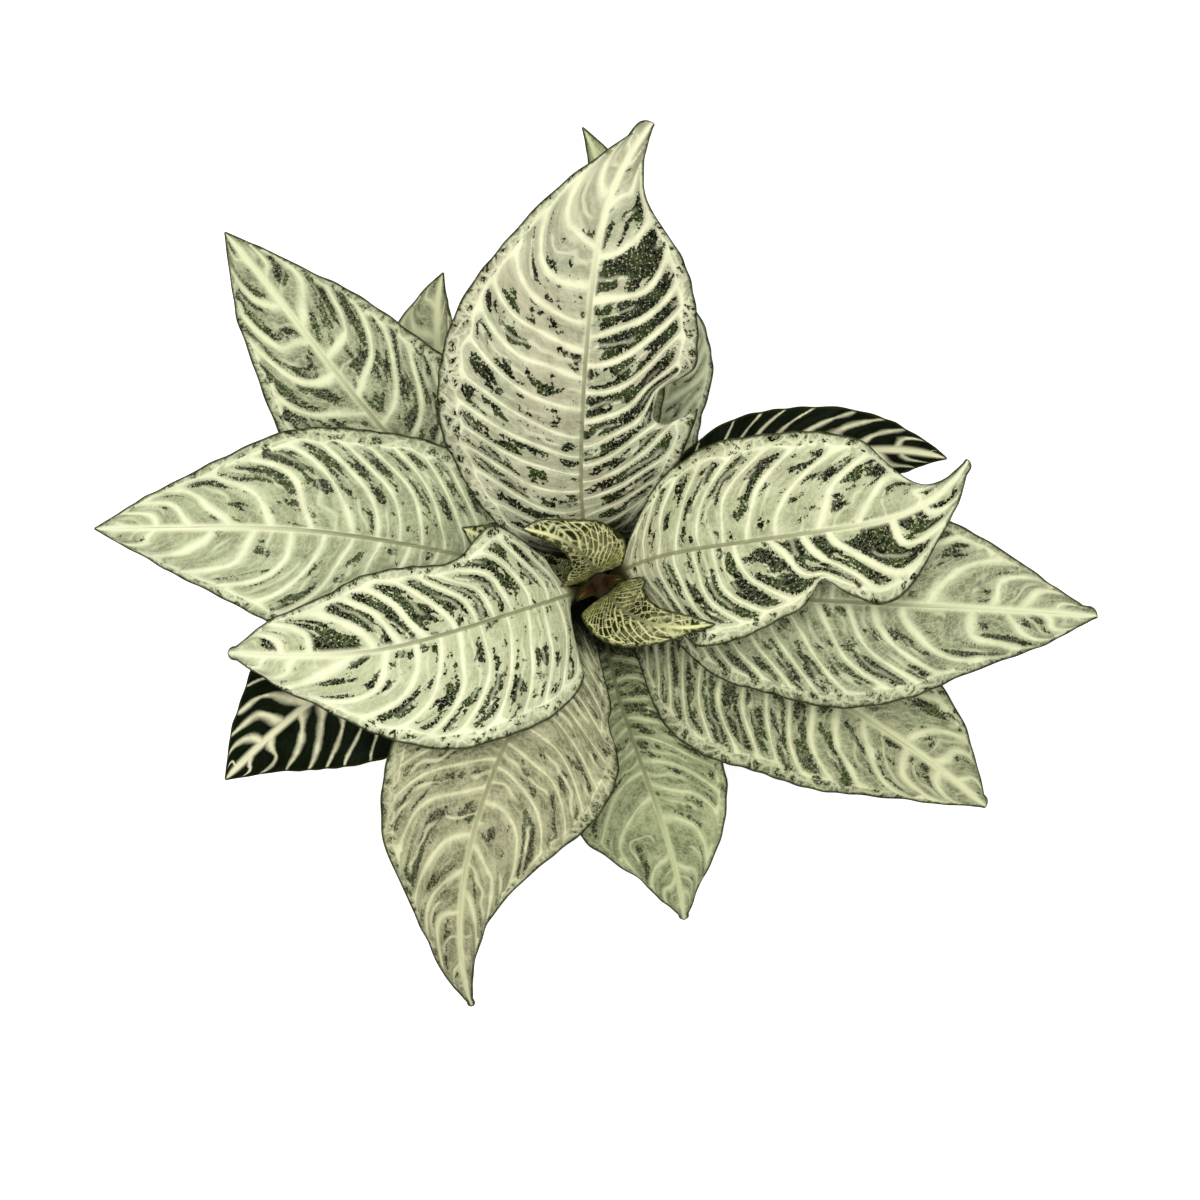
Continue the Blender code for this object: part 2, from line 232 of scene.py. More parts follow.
def drill(piece, radius, depth, place):
    """Cuts a round hole through the piece and drops the tool."""
    mesh = bpy.data.meshes.new("drill")
    shape = bmesh.new()
    bmesh.ops.create_cone(shape, cap_ends=True, segments=28, radius1=radius, radius2=radius, depth=depth)
    shape.to_mesh(mesh)
    shape.free()
    tool = bpy.data.objects.new("drill", mesh)
    tool.location = place
    bpy.context.scene.collection.objects.link(tool)
    cut = piece.modifiers.new("hole", "BOOLEAN")
    cut.operation = "DIFFERENCE"
    cut.object = tool
    apply_modifiers(piece)
    bpy.data.objects.remove(tool, do_unlink=True)


def clay_material():
    made, tree, shader = new_material("fired clay", 0.86, 0.3)
    place = object_place(tree)
    grit = use_group(tree, GRIT, Place=place, Scale=1400.0)
    height = put(tree, "ShaderNodeSeparateXYZ", {0: place}).outputs["Z"]
    rings = put(tree, "ShaderNodeCombineXYZ", {"Z": height}).outputs[0]
    ring = speckle_noise(tree, rings, 420.0, 3.0, 0.6)
    bloom = speckle_noise(tree, place, 26.0, 6.0, 0.62)
    wet = step(tree, height, 0.10, 0.02)
    bloom = calc(tree, "MULTIPLY", step(tree, bloom, 0.50, 0.72), calc(tree, "ADD", wet, 0.35))
    colour = blend(tree, step(tree, grit["Mottle"], 0.3, 0.75), CLAY_DARK, CLAY)
    colour = blend(tree, calc(tree, "MULTIPLY", step(tree, ring, 0.35, 0.75), 0.35), colour, CLAY)
    colour = blend(tree, bloom, colour, CLAY_SALT)
    tree.links.new(colour, shader.inputs["Base Color"])
    bumps = calc(tree, "MULTIPLY_ADD", ring, 0.8, calc(tree, "MULTIPLY", grit["Grain"], 0.35))
    raise_surface(tree, shader, bumps, 0.0004)
    return made


pot = turned("clay_pot", pot_profile(), POT_SIDES)
apply_modifiers(pot)
for hole in range(DRAIN_HOLES):
    turn = 2.0 * math.pi * hole / DRAIN_HOLES
    drill(pot, DRAIN_RADIUS, 2 * POT_FLOOR,
          (DRAIN_RING * math.cos(turn), DRAIN_RING * math.sin(turn), POT_FLOOR / 2))
for vertex in pot.data.vertices:
    out = Vector((vertex.co.x, vertex.co.y, 0.0))
    if out.length > POT_BASE_RADIUS - 0.004 and vertex.co.z > 0.004:
        vertex.co += out.normalized() * 0.00035 * noise.noise(vertex.co * 30.0)
pot.data.shade_smooth()
pot.data.set_sharp_from_angle(angle=math.radians(50))
pot.data.materials.append(clay_material())
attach(pot, "root")
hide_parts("pot")


# Potting soil
# Dark peat with bark crumbs and white perlite, filled to just under the rim and firmed round
# the stem. The crumbs lie on the surface, sunk a little into it.
SOIL_TOP = 0.106
SOIL_FOOT = 0.012
SOIL_RINGS = 26
SOIL_SIDES = 110
STEM_HOLE = 0.0044
CRUMBS = 620
CRUMB_SIZES = (0.0009, 0.0027)
PERLITE_BITS = 70
PERLITE_SIZES = (0.0010, 0.0022)
BARK_BITS = 46

PEAT = (0.030, 0.018, 0.011)
PEAT_LIGHT = (0.085, 0.052, 0.032)
PERLITE_WHITE = (0.66, 0.65, 0.60)
BARK = (0.110, 0.055, 0.028)


def soil_height(x, y):
    """The lumpy top of the soil, level at the wall and round the stem."""
    radius = math.hypot(x, y)
    wall = pot_inner_radius(SOIL_TOP)
    calm = min(1.0, max(0.0, (wall - radius) / 0.008)) * min(1.0, max(0.0, (radius - 0.004) / 0.006))
    lumps = noise.noise(Vector((x, y, 0.0)) * 110.0) + 0.5 * noise.noise(Vector((x, y, 0.3)) * 260.0)
    return SOIL_TOP + 0.0026 * lumps * calm


def soil_mesh():
    wall = pot_inner_radius(SOIL_TOP) - 0.0003
    foot = pot_inner_radius(SOIL_FOOT) - 0.0006
    profile = [(0.0, SOIL_TOP - 0.06), (STEM_HOLE, SOIL_TOP - 0.06)]
    for ring in range(SOIL_RINGS + 1):
        profile.append((STEM_HOLE + (wall - STEM_HOLE) * ring / SOIL_RINGS, SOIL_TOP))
    profile += [(foot, SOIL_FOOT), (0.0, SOIL_FOOT)]
    piece = turned("potting_soil", profile, SOIL_SIDES)
    apply_modifiers(piece)
    for vertex in piece.data.vertices:
        if vertex.co.z > SOIL_TOP - 0.001:
            vertex.co.z = soil_height(vertex.co.x, vertex.co.y)
    piece.data.shade_smooth()
    return piece


def scatter(name, count, sizes, flat, seed, detail=1):
    """Rough bits strewn on the soil, each a small dented ball pressed a third into it."""
    draw = random.Random(seed)
    shape = bmesh.new()
    for number in range(count):
        radius = 0.007 + (pot_inner_radius(SOIL_TOP) - 0.012) * math.sqrt(draw.random())
        turn = draw.uniform(0.0, 2.0 * math.pi)
        x, y = radius * math.cos(turn), radius * math.sin(turn)
        size = draw.uniform(*sizes)
        bit = bmesh.ops.create_icosphere(shape, subdivisions=detail, radius=size)["verts"]
        spin = draw.uniform(0.0, math.pi)
        long = draw.uniform(0.8, 1.5)
        for vertex in bit:
            dent = 1.0 + 0.35 * noise.noise(vertex.co / size * 1.3 + Vector((number, seed, 0.0)))
            px, py, pz = vertex.co * dent
            px, pz = px * long, pz * flat
            vertex.co = Vector((
                x + px * math.cos(spin) - py * math.sin(spin),
                y + px * math.sin(spin) + py * math.cos(spin),
                soil_height(x, y) + size * flat * 0.35 + pz))
    mesh = bpy.data.meshes.new(name)
    shape.to_mesh(mesh)
    shape.free()
    piece = bpy.data.objects.new(name, mesh)
    bpy.context.scene.collection.objects.link(piece)
    return piece


def soil_material(name, dark, light, scale, depth):
    made, tree, shader = new_material(name, 0.95, 0.25)
    grit = use_group(tree, GRIT, Place=object_place(tree), Scale=scale)
    colour = blend(tree, step(tree, grit["Mottle"], 0.35, 0.7), dark, light)
    colour = blend(tree, step(tree, grit["Grain"], 0.62, 0.72), colour, light)
    tree.links.new(colour, shader.inputs["Base Color"])
    raise_surface(tree, shader, grit["Grain"], depth)
    return made


soil = soil_mesh()
soil.data.materials.append(soil_material("peat", PEAT, PEAT_LIGHT, 900.0, 0.0012))
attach(soil, "root")
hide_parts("soil")

crumbs = scatter("soil_crumbs", CRUMBS, CRUMB_SIZES, 0.8, 5)
crumbs.data.materials.append(soil_material("peat crumbs", PEAT, PEAT_LIGHT, 1500.0, 0.0006))
perlite = scatter("perlite_bits", PERLITE_BITS, PERLITE_SIZES, 0.9, 8)
perlite.data.materials.append(
    soil_material("perlite", (0.45, 0.43, 0.38), PERLITE_WHITE, 1800.0, 0.0004))
bark = scatter("bark_bits", BARK_BITS, (0.0018, 0.0042), 0.32, 11)
bark.data.materials.append(soil_material("bark", (0.045, 0.024, 0.014), BARK, 1100.0, 0.0006))
for bits in (crumbs, perlite, bark):
    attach(bits, "root")


# Stem
# One upright fleshy stem, dark purple-brown, swollen where each pair of leaves joins it and
# ringed there by the scar of the pair. It ends in the bud of the next pair, two folded leaflets.
STEM_RADIUS = 0.0041
STEM_NODE_SWELL = 0.0011
STEM_NODE_REACH = 0.0045
STEM_FOOT = 0.050
STEM_TOP = 0.251
STEM_BUD_RADIUS = 0.0027
STEM_SIDES = 40
NODES = (0.243, 0.233, 0.219, 0.204, 0.190, 0.177, 0.164, 0.151, 0.139)
SIDE_SHOOT_NODE = 0.210

BARK_PURPLE = (0.060, 0.026, 0.022)
BARK_GREEN = (0.085, 0.080, 0.034)
BARK_YOUNG = (0.040, 0.016, 0.007)
LENTICEL = (0.20, 0.15, 0.10)


def stem_radius(height):
    """Radius of the stem, swollen at each leaf pair and drawn in at the bud."""
    taper = np.clip((STEM_TOP - height) / (STEM_TOP - NODES[1]), 0.0, 1.0)
    radius = STEM_BUD_RADIUS + (STEM_RADIUS - STEM_BUD_RADIUS) * taper
    swell = sum(np.exp(-((height - node) / STEM_NODE_REACH) ** 2) for node in NODES)
    bud = np.clip((STEM_TOP - height) / (STEM_TOP - NODES[0]), 0.0, 1.0)
    return (radius + STEM_NODE_SWELL * min(swell, 1.0)) * (0.3 + 0.7 * bud)


def stem_piece():
    heights = np.arange(STEM_TOP, STEM_FOOT, -0.0008)
    profile = [(0.0, STEM_TOP + 0.0025), (STEM_BUD_RADIUS * 0.15, STEM_TOP + 0.0016)]
    for height in heights:
        scar = sum(math.exp(-((height - node + 0.0022) / 0.0005) ** 2) for node in NODES)
        profile.append((float(stem_radius(height)) - 0.00035 * min(scar, 1.0), float(height)))
    profile += [(STEM_RADIUS * 0.7, STEM_FOOT), (0.0, STEM_FOOT)]
    piece = turned("plant_stem", profile, STEM_SIDES)
    apply_modifiers(piece)
    for vertex in piece.data.vertices:
        turn = math.atan2(vertex.co.y, vertex.co.x)
        rib = 0.00012 * math.cos(4.0 * turn) + 0.0001 * noise.noise(vertex.co * 300.0)
        out = Vector((vertex.co.x, vertex.co.y, 0.0))
        if out.length > 0.001:
            vertex.co += out.normalized() * rib
    piece.data.shade_smooth()
    return piece


def stem_material():
    made, tree, shader = new_material("stem bark", 0.46)
    place = object_place(tree)
    grit = use_group(tree, GRIT, Place=place, Scale=1600.0)
    height = put(tree, "ShaderNodeSeparateXYZ", {0: place}).outputs["Z"]
    young = step(tree, height, 0.18, 0.25)
    colour = blend(tree, calc(tree, "MULTIPLY", step(tree, grit["Mottle"], 0.4, 0.65), 0.6),
                   BARK_PURPLE, BARK_GREEN)
    colour = blend(tree, calc(tree, "MULTIPLY", young, 0.7), colour, BARK_YOUNG)
    dots = put(tree, "ShaderNodeTexVoronoi", {"Vector": place, "Scale": 900.0}).outputs["Distance"]
    colour = blend(tree, calc(tree, "MULTIPLY", step(tree, dots, 0.26, 0.14), 0.5), colour, LENTICEL)
    tree.links.new(colour, shader.inputs["Base Color"])
    raise_surface(tree, shader, grit["Grain"], 0.00025)
    return made


stem = stem_piece()
stem.data.materials.append(stem_material())
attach(stem, "root")
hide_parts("stem")


# Leaves
# Each leaf is one waved blade about half a millimetre thick, quilted between side veins that
# sweep to the tip and join in loops inside the margin. It narrows to a stalk at the stem, and
# its midrib and veins stand out underneath. Pairs cross one above the other, the largest third.
BLADE_THICKNESS = 0.0007
MARGIN_THICKNESS = 0.0004
MIDRIB_THICKNESS = 0.0026
MIDRIB_REACH = 0.0022
STALK_HALF_WIDTH = 0.0022
TIP_HALF_WIDTH = 0.0004
MIDRIB_STEPS = 160
ROWS_PER_VEIN = 10
COLUMNS = 52
VEIN_SWEEP = 0.13
VEIN_CURVE = 1.4
BASE_TAPER = 0.9
VEIN_BEND = 0.6
VEIN_SHARES = (0.0, 0.18, 0.35, 0.51, 0.645, 0.75, 0.83, 0.91, 1.0)
EVEN_SHARES = (0.0, 0.15, 0.30, 0.44, 0.57, 0.69, 0.80, 0.90, 1.0)
FAN_ROOT = 0.003
QUILT = 0.0011
SCALLOP = 0.0002
RIB_GROOVE = 0.0007

# Heading and pitch in degrees at even steps from stem to tip, half widths at each eighth.
LEAVES = {
    "leaf_1_northwest": dict(
        pair=1, length=0.047, heading=(112, 126, 142, 162, 172), pitch=(66, 60, 40, 12, -5),
        left=(0.015, 0.012, 0.008, 0.005, 0.004, 0.003, 0.002),
        right=(0.015, 0.017, 0.016, 0.014, 0.010, 0.007, 0.005), base=(0.012, 0.0115), taper=(0, 0),
        wave=0.0006, quilt=0.0005,
        left_flecks=(0, 0, 0, 0, 0), right_flecks=(0, 0, 0, 0, 0),
        veins=8, fan=1.2, look="young"),
    "leaf_1_southeast": dict(
        pair=1, length=0.062, heading=(-50, -43, -22, -3, 10), pitch=(66, 60, 42, 14, -4),
        left=(0.013, 0.015, 0.012, 0.009, 0.007, 0.006, 0.004),
        right=(0.015, 0.0155, 0.0145, 0.012, 0.0085, 0.005, 0.002), base=(0.007, 0.014), taper=(0, 0),
        wave=0.0006, quilt=0.0005,
        left_flecks=(0, 0, 0, 0, 0), right_flecks=(0, 0, 0, 0, 0),
        veins=9, fan=1.2, look="young"),
    "leaf_2_west": dict(
        pair=2, length=0.160, heading=(198, 198, 195, 182, 176), pitch=(58, 32, 8, -12, -25),
        left=(0.033, 0.044, 0.046, 0.045, 0.035, 0.021, 0.012),
        right=(0.018, 0.036, 0.027, 0.030, 0.030, 0.023, 0.015), taper=(6, 3), blunt=(0.0028, 0.0028),
        left_flecks=(0.35, 0.55, 0.55, 0.4, 0.05), right_flecks=(0.4, 0.8, 0.95, 0.85, 0.1),
        veins=15, look="clear"),
    "leaf_2_east": dict(
        pair=2, length=0.168, heading=(33, 11, 8, 15, 60), pitch=(60, 36, 8, -12, -12),
        left=(0.011, 0.031, 0.040, 0.041, 0.039, 0.030, 0.007),
        right=(0.018, 0.037, 0.038, 0.031, 0.026, 0.027, 0.011), blunt=(0.001, 0.003),
        folds=(dict(side=-1, at=0.70, reach=0.06, pull=-0.005, lift=0.004),
               dict(side=-1, at=0.585, reach=0.035, pull=0.008, lift=-0.002)),
        left_flecks=(0.4, 0.55, 0.5, 0.5, 0.1), right_flecks=(0.4, 0.75, 1.0, 1.05, 0.6),
        veins=14, look="bright"),
    "leaf_3_north": dict(
        pair=3, length=0.201, heading=(110, 91, 86, 79, 49), pitch=(56, 38, 18, 0, -12),
        left=(0.026, 0.045, 0.056, 0.057, 0.049, 0.031, 0.013),
        right=(0.020, 0.034, 0.042, 0.043, 0.041, 0.032, 0.011),
        edge_lift=(14, 4), blunt=(0.005, 0.001),
        folds=(dict(side=-1, at=0.415, reach=0.03, pull=0.013, lift=-0.004, push=-0.03),
               dict(side=-1, at=0.457, reach=0.03, pull=0.012, lift=-0.002),
               dict(side=-1, at=0.355, reach=0.025, pull=-0.0015, lift=0.004, push=0.07)),
        left_flecks=(0.5, 0.65, 0.5, 0.35, 0.0), right_flecks=(0.6, 0.85, 1.05, 0.85, 0.1),
        veins=18, look="large"),
    "leaf_3_south": dict(
        pair=3, length=0.198, heading=(237, 239, 250, 265, 286), pitch=(52, 30, 5, -22, -40),
        left=(0.014, 0.034, 0.046, 0.044, 0.030, 0.014, 0.006),
        right=(0.014, 0.030, 0.042, 0.042, 0.036, 0.021, 0.010), blunt=(0.0016, 0.0016),
        folds=(dict(side=1, at=0.27, reach=0.03, pull=0.004, lift=0.003),),
        left_flecks=(0.3, 0.35, 0.3, 0.25, 0.1), right_flecks=(0.4, 0.45, 0.35, 0.35, 0.2),
        veins=16, look="grey"),
    "leaf_4_west": dict(
        pair=4, length=0.211, heading=(168, 168, 172, 180, 180), pitch=(46, 28, 10, -8, -18),
        left=(0.014, 0.030, 0.038, 0.042, 0.040, 0.028, 0.015),
        right=(0.014, 0.032, 0.042, 0.043, 0.040, 0.028, 0.015),
        left_flecks=(0.4, 0.4, 0.4, 0.3, 0.05), right_flecks=(0.5, 0.6, 0.55, 0.5, 0.1),
        veins=19, look="pale"),
    "leaf_4_east": dict(
        pair=4, length=0.206, heading=(-5, -4, -3, -3, -5), pitch=(46, 28, 10, -8, -18),
        left=(0.014, 0.030, 0.038, 0.042, 0.040, 0.029, 0.015),
        right=(0.014, 0.032, 0.039, 0.043, 0.038, 0.026, 0.015), blunt=(0.004, 0.001),
        left_flecks=(0.4, 0.4, 0.35, 0.15, 0.05), right_flecks=(0.5, 0.5, 0.5, 0.35, 0.1),
        veins=18, look="shaded"),
    "leaf_5_northwest": dict(
        pair=5, length=0.217, heading=(160, 144, 132, 128, 130), pitch=(42, 25, 8, -10, -20),
        left=(0.012, 0.024, 0.034, 0.038, 0.034, 0.025, 0.016),
        right=(0.012, 0.028, 0.038, 0.040, 0.034, 0.026, 0.013),
        left_flecks=(0.5, 0.5, 0.6, 0.6, 0.4), right_flecks=(0.5, 0.6, 0.7, 0.7, 0.5),
        veins=16, look="shaded"),
    "leaf_5_southeast": dict(
        pair=5, length=0.185, heading=(-23, -25, -29, -34, -42), pitch=(40, 22, 5, -12, -22),
        left=(0.012, 0.026, 0.034, 0.036, 0.034, 0.028, 0.017),
        right=(0.020, 0.040, 0.046, 0.042, 0.037, 0.027, 0.015), blunt=(0.0035, 0.001),
        left_flecks=(0.5, 0.5, 0.5, 0.5, 0.1), right_flecks=(0.6, 0.7, 0.7, 0.5, 0.2),
        veins=17, look="dim"),
    "leaf_6_north": dict(
        pair=6, length=0.194, heading=(90, 87, 88, 92, 118), pitch=(46, 28, 10, -6, -18),
        left=(0.008, 0.016, 0.022, 0.022, 0.016, 0.009, 0.006),
        right=(0.008, 0.016, 0.022, 0.024, 0.020, 0.013, 0.0095),
        left_flecks=(0.2, 0.2, 0.2, 0.1, 0.0), right_flecks=(0.2, 0.2, 0.2, 0.1, 0.0),
        veins=15, look="plain"),
    "leaf_6_south": dict(
        pair=6, length=0.151, heading=(-86, -76, -70, -74, -84), pitch=(42, 20, -5, -25, -40),
        left=(0.012, 0.024, 0.031, 0.032, 0.031, 0.022, 0.0105),
        right=(0.012, 0.024, 0.032, 0.036, 0.034, 0.024, 0.012), blunt=(0.0022, 0.0022),
        left_flecks=(1.3, 1.2, 0.6, 0.15, 0.0), right_flecks=(1.1, 0.8, 0.3, 0.15, 0.0),
        veins=14, look="plain"),
    "leaf_7_southwest": dict(
        pair=7, length=0.182, heading=(194, 196, 206, 218, 226), pitch=(42, 25, 5, -12, -22),
        left=(0.010, 0.020, 0.028, 0.034, 0.038, 0.030, 0.016),
        right=(0.010, 0.020, 0.028, 0.035, 0.036, 0.029, 0.016),
        left_flecks=(0, 0, 0, 0, 0), right_flecks=(0, 0, 0, 0, 0),
        veins=17, shares=EVEN_SHARES, curve=1.15, look="dark"),
    "leaf_7_northeast": dict(
        pair=7, length=0.161, heading=(38, 34, 25, 8, -16), pitch=(42, 25, 8, -8, -20),
        left=(0.008, 0.016, 0.025, 0.028, 0.024, 0.018, 0.010),
        right=(0.008, 0.018, 0.026, 0.028, 0.024, 0.018, 0.010),
        left_flecks=(0, 0, 0, 0, 0), right_flecks=(0, 0, 0, 0, 0),
        veins=15, shares=EVEN_SHARES, curve=1.15, look="dark"),
    "leaf_8_northwest": dict(
        pair=8, length=0.156, heading=(142, 134, 122, 98, 78), pitch=(40, 22, 8, -8, -18),
        left=(0.008, 0.016, 0.024, 0.030, 0.030, 0.026, 0.015),
        right=(0.008, 0.018, 0.024, 0.026, 0.022, 0.014, 0.006),
        left_flecks=(0.2, 0.2, 0.1, 0.1, 0.0), right_flecks=(0.2, 0.2, 0.1, 0.1, 0.0),
        veins=16, look="dim"),
    "leaf_8_southeast": dict(
        pair=8, length=0.112, heading=(-38, -34, -32, -32, -34), pitch=(34, 12, -10, -30, -42),
        left=(0.008, 0.016, 0.022, 0.024, 0.020, 0.013, 0.006),
        right=(0.008, 0.016, 0.022, 0.024, 0.020, 0.013, 0.006),
        left_flecks=(0, 0, 0, 0, 0), right_flecks=(0, 0, 0, 0, 0),
        veins=13, shares=EVEN_SHARES, curve=1.15, look="dark"),
    "leaf_9_northeast": dict(
        pair=9, length=0.128, heading=(70, 71, 72, 76, 84), pitch=(40, 22, 8, -8, -18),
        left=(0.008, 0.018, 0.026, 0.028, 0.024, 0.016, 0.008),
        right=(0.008, 0.018, 0.020, 0.020, 0.018, 0.018, 0.012),
        left_flecks=(0.2, 0.2, 0.2, 0.2, 0.2), right_flecks=(0.2, 0.3, 0.3, 0.3, 0.2),
        veins=14, look="pale"),
    "leaf_9_southwest": dict(
        pair=9, length=0.115, heading=(250, 248, 246, 248, 252), pitch=(30, 10, -10, -30, -42),
        left=(0.008, 0.016, 0.022, 0.024, 0.020, 0.013, 0.006),
        right=(0.008, 0.016, 0.022, 0.024, 0.020, 0.013, 0.006),
        left_flecks=(0, 0, 0, 0, 0), right_flecks=(0, 0, 0, 0, 0),
        veins=13, shares=EVEN_SHARES, curve=1.15, look="dark"),
    "side_shoot_leaf": dict(
        node=SIDE_SHOOT_NODE, length=0.067, heading=(159, 159, 157, 156, 158), pitch=(34, 44, 44, 28, 12),
        left=(0.005, 0.008, 0.010, 0.010, 0.009, 0.008, 0.006),
        right=(0.004, 0.006, 0.007, 0.009, 0.011, 0.010, 0.005),
        wave=0.0006, quilt=0.0005,
        left_flecks=(0, 0, 0, 0, 0), right_flecks=(0, 0, 0, 0, 0),
        veins=12, look="young"),
}

# The next pair, two leaflets still folded up round the tip of the stem
BUD_LEAFLETS = {
    "bud_leaflet_east": dict(
        node=0.2462, length=0.0125, heading=(22, 20, 14, 6, 0), pitch=(84, 74, 58, 36, 16),
        left=(0.0018, 0.0026, 0.0030, 0.0029, 0.0025, 0.0019, 0.0010),
        right=(0.0018, 0.0026, 0.0030, 0.0029, 0.0025, 0.0019, 0.0010), edge_lift=(42, 42),
        wave=0.0002, quilt=0.0001, left_flecks=(0, 0, 0, 0, 0), right_flecks=(0, 0, 0, 0, 0),
        veins=8, look="bud"),
    "bud_leaflet_west": dict(
        node=0.2458, length=0.0135, heading=(206, 204, 212, 222, 228), pitch=(84, 72, 54, 30, 10),
        left=(0.0018, 0.0028, 0.0033, 0.0032, 0.0028, 0.0021, 0.0011),
        right=(0.0018, 0.0028, 0.0033, 0.0032, 0.0028, 0.0021, 0.0011), edge_lift=(38, 38),
        wave=0.0002, quilt=0.0001, left_flecks=(0, 0, 0, 0, 0), right_flecks=(0, 0, 0, 0, 0),
        veins=8, look="bud"),
}


def smooth_step(x):
    x = np.clip(x, 0.0, 1.0)
    return x * x * (3.0 - 2.0 * x)


def through(values, t):
    """A smooth curve through values that stand at even steps of t from 0 to 1."""
    v = np.asarray(values, float)
    last = len(v) - 1
    x = np.clip(t, 0.0, 1.0) * last
    i = np.minimum(x.astype(int), last - 1)
    f = x - i
    padded = np.concatenate([[2 * v[0] - v[1]], v, [2 * v[-1] - v[-2]]])
    a, b, c, d = padded[i], padded[i + 1], padded[i + 2], padded[i + 3]
    return b + 0.5 * f * (c - a + f * (2 * a - 5 * b + 4 * c - d + f * (3 * (b - c) + d - a)))


def midrib(leaf):
    """Points of the midrib from the stem to the tip, with the directions to its left and up."""
    t = np.linspace(0.0, 1.0, MIDRIB_STEPS + 1)
    heading = np.radians(through(leaf["heading"], t))
    pitch = np.radians(through(leaf["pitch"], t))
    level = np.cos(pitch)
    forward = np.stack([level * np.cos(heading), level * np.sin(heading), np.sin(pitch)], 1)
    steps = (forward[1:] + forward[:-1]) / 2 * leaf["length"] / MIDRIB_STEPS
    node = leaf["node"] if "node" in leaf else NODES[leaf["pair"] - 1]
    start = stem_radius(node) + 0.0002
    root = np.array([start * np.cos(heading[0]), start * np.sin(heading[0]), node])
    points = root + np.vstack([np.zeros(3), np.cumsum(steps, 0)])
    left = np.cross([0.0, 0.0, 1.0], forward)
    left /= np.linalg.norm(left, axis=1)[:, None]
    up = np.cross(forward, left)
    return points, left, up


def half_width(leaf, t, side):
    """Half width of the blade at t on the left where side is 1 and on the right where it is -1."""
    base = leaf.get("base", (STALK_HALF_WIDTH, STALK_HALF_WIDTH))
    left = through((base[0], *leaf["left"], TIP_HALF_WIDTH), t)
    right = through((base[1], *leaf["right"], TIP_HALF_WIDTH), t)
    taper = np.where(side > 0, *leaf.get("taper", (BASE_TAPER, BASE_TAPER)))
    narrow = np.clip(8.0 * t, 0.001, 1.0) ** taper
    width = STALK_HALF_WIDTH + (np.where(side > 0, left, right) - STALK_HALF_WIDTH) * narrow
    from_tip = (1.0 - t) * leaf["length"]
    round_end = np.where(side > 0, *leaf.get("blunt", (0.0, 0.0)))
    cap = np.sqrt(np.maximum(round_end ** 2 - np.maximum(round_end - from_tip, 0.0) ** 2, 0.0))
    cap = cap * smooth_step((3.0 * round_end - from_tip) / np.maximum(round_end, 1e-6))
    return np.maximum(np.maximum(width, cap), TIP_HALF_WIDTH)


def vein_count(leaf, row, across, turned_out, draw):
    """Number of side veins passed from the stem on. Near the margin the veins bend to the tip.

    Some veins of a young leaf fan out from its root, by the angle turned out from the midrib."""
    out = np.abs(across)
    left = [draw.uniform(-0.3, 0.3) for _ in range(9)]
    right = [draw.uniform(-0.3, 0.3) for _ in range(9)]
    turn = draw.uniform(0.0, 6.0)
    shift = np.where(across >= 0.0, through(left, row), 0.45 + through(right, row))
    waver = 0.09 * np.sin(11.0 * row + 5.0 * across + turn) + 0.07 * np.sin(29.0 * row - 8.0 * across + turn)
    bend = VEIN_BEND * smooth_step((out - 0.4) / 0.6)
    fan = leaf.get("fan", 0.0) * leaf["veins"] * turned_out / (0.5 * np.pi)
    return leaf["veins"] * through(leaf.get("shares", VEIN_SHARES), row) + shift + waver - bend - fan


def blade(leaf, line, row, across, name):
    """Points of the blade's upper face, with the vein count, the half width and t at each."""
    points, left, up = line
    out = np.abs(across)
    side = np.where(across >= 0.0, 1, -1)
    sweep = VEIN_SWEEP * out ** leaf.get("curve", VEIN_CURVE) * 4.0 * row * (1.0 - row)
    t = row + sweep
    folds = leaf.get("folds", ())
    creases = [np.exp(-((t - fold["at"]) / fold["reach"]) ** 2) * out ** 3 * (side == fold["side"])
               for fold in folds]
    t = t + sum(fold.get("push", 0.0) * crease for fold, crease in zip(folds, creases))
    t = np.clip(t, 0.0, 1.0)
    width = half_width(leaf, t, side)
    reach = out * width
    lifts = leaf.get("edge_lift", (14, 14))
    lift_angle = np.radians(np.where(side > 0, lifts[0], lifts[1]))
    lift_angle = lift_angle * (1.0 - 0.6 * smooth_step((t - 0.7) / 0.3))
    free = smooth_step((t - 0.12) / 0.2) * smooth_step((1.0 - t) / 0.12)
    turns = 3.0 * t + np.where(side > 0, 0.0, 0.37)
    wave = leaf.get("wave", 0.002)
    rise = wave * out ** 2 * np.sin(2.0 * np.pi * turns) * free
    rise = rise + 0.45 * wave * out ** 3 * np.sin(2.0 * np.pi * (8.3 * t + 0.21 * side)) * free
    for fold, crease in zip(folds, creases):
        reach = reach - fold["pull"] * crease
        rise = rise + fold["lift"] * crease
    turned_out = np.arctan2(out * width, t * leaf["length"] + FAN_ROOT)
    count = vein_count(leaf, row, across, turned_out, random.Random(name))
    panel = np.abs(np.sin(np.pi * count)) ** 0.7 - 0.5
    quilt = leaf.get("quilt", QUILT)
    inner = smooth_step(out / 0.25) * smooth_step((1.0 - out) / 0.3)
    rise = rise + quilt * panel * inner * free
    reach = reach - SCALLOP * np.cos(2.0 * np.pi * count) * smooth_step((out - 0.7) / 0.3) * free
    rise = rise + reach * np.sin(lift_angle) - 0.2 * reach * reach / width
    rise = rise - RIB_GROOVE * np.exp(-(out * width / MIDRIB_REACH) ** 2) * free
    place = t * MIDRIB_STEPS
    i = np.minimum(place.astype(int), MIDRIB_STEPS - 1)
    f = (place - i)[..., None]
    middle = points[i] * (1 - f) + points[i + 1] * f
    to_left = left[i] * (1 - f) + left[i + 1] * f
    to_up = up[i] * (1 - f) + up[i + 1] * f
    level = side * reach * np.cos(lift_angle)
    return middle + to_left * level[..., None] + to_up * rise[..., None], count, width, t


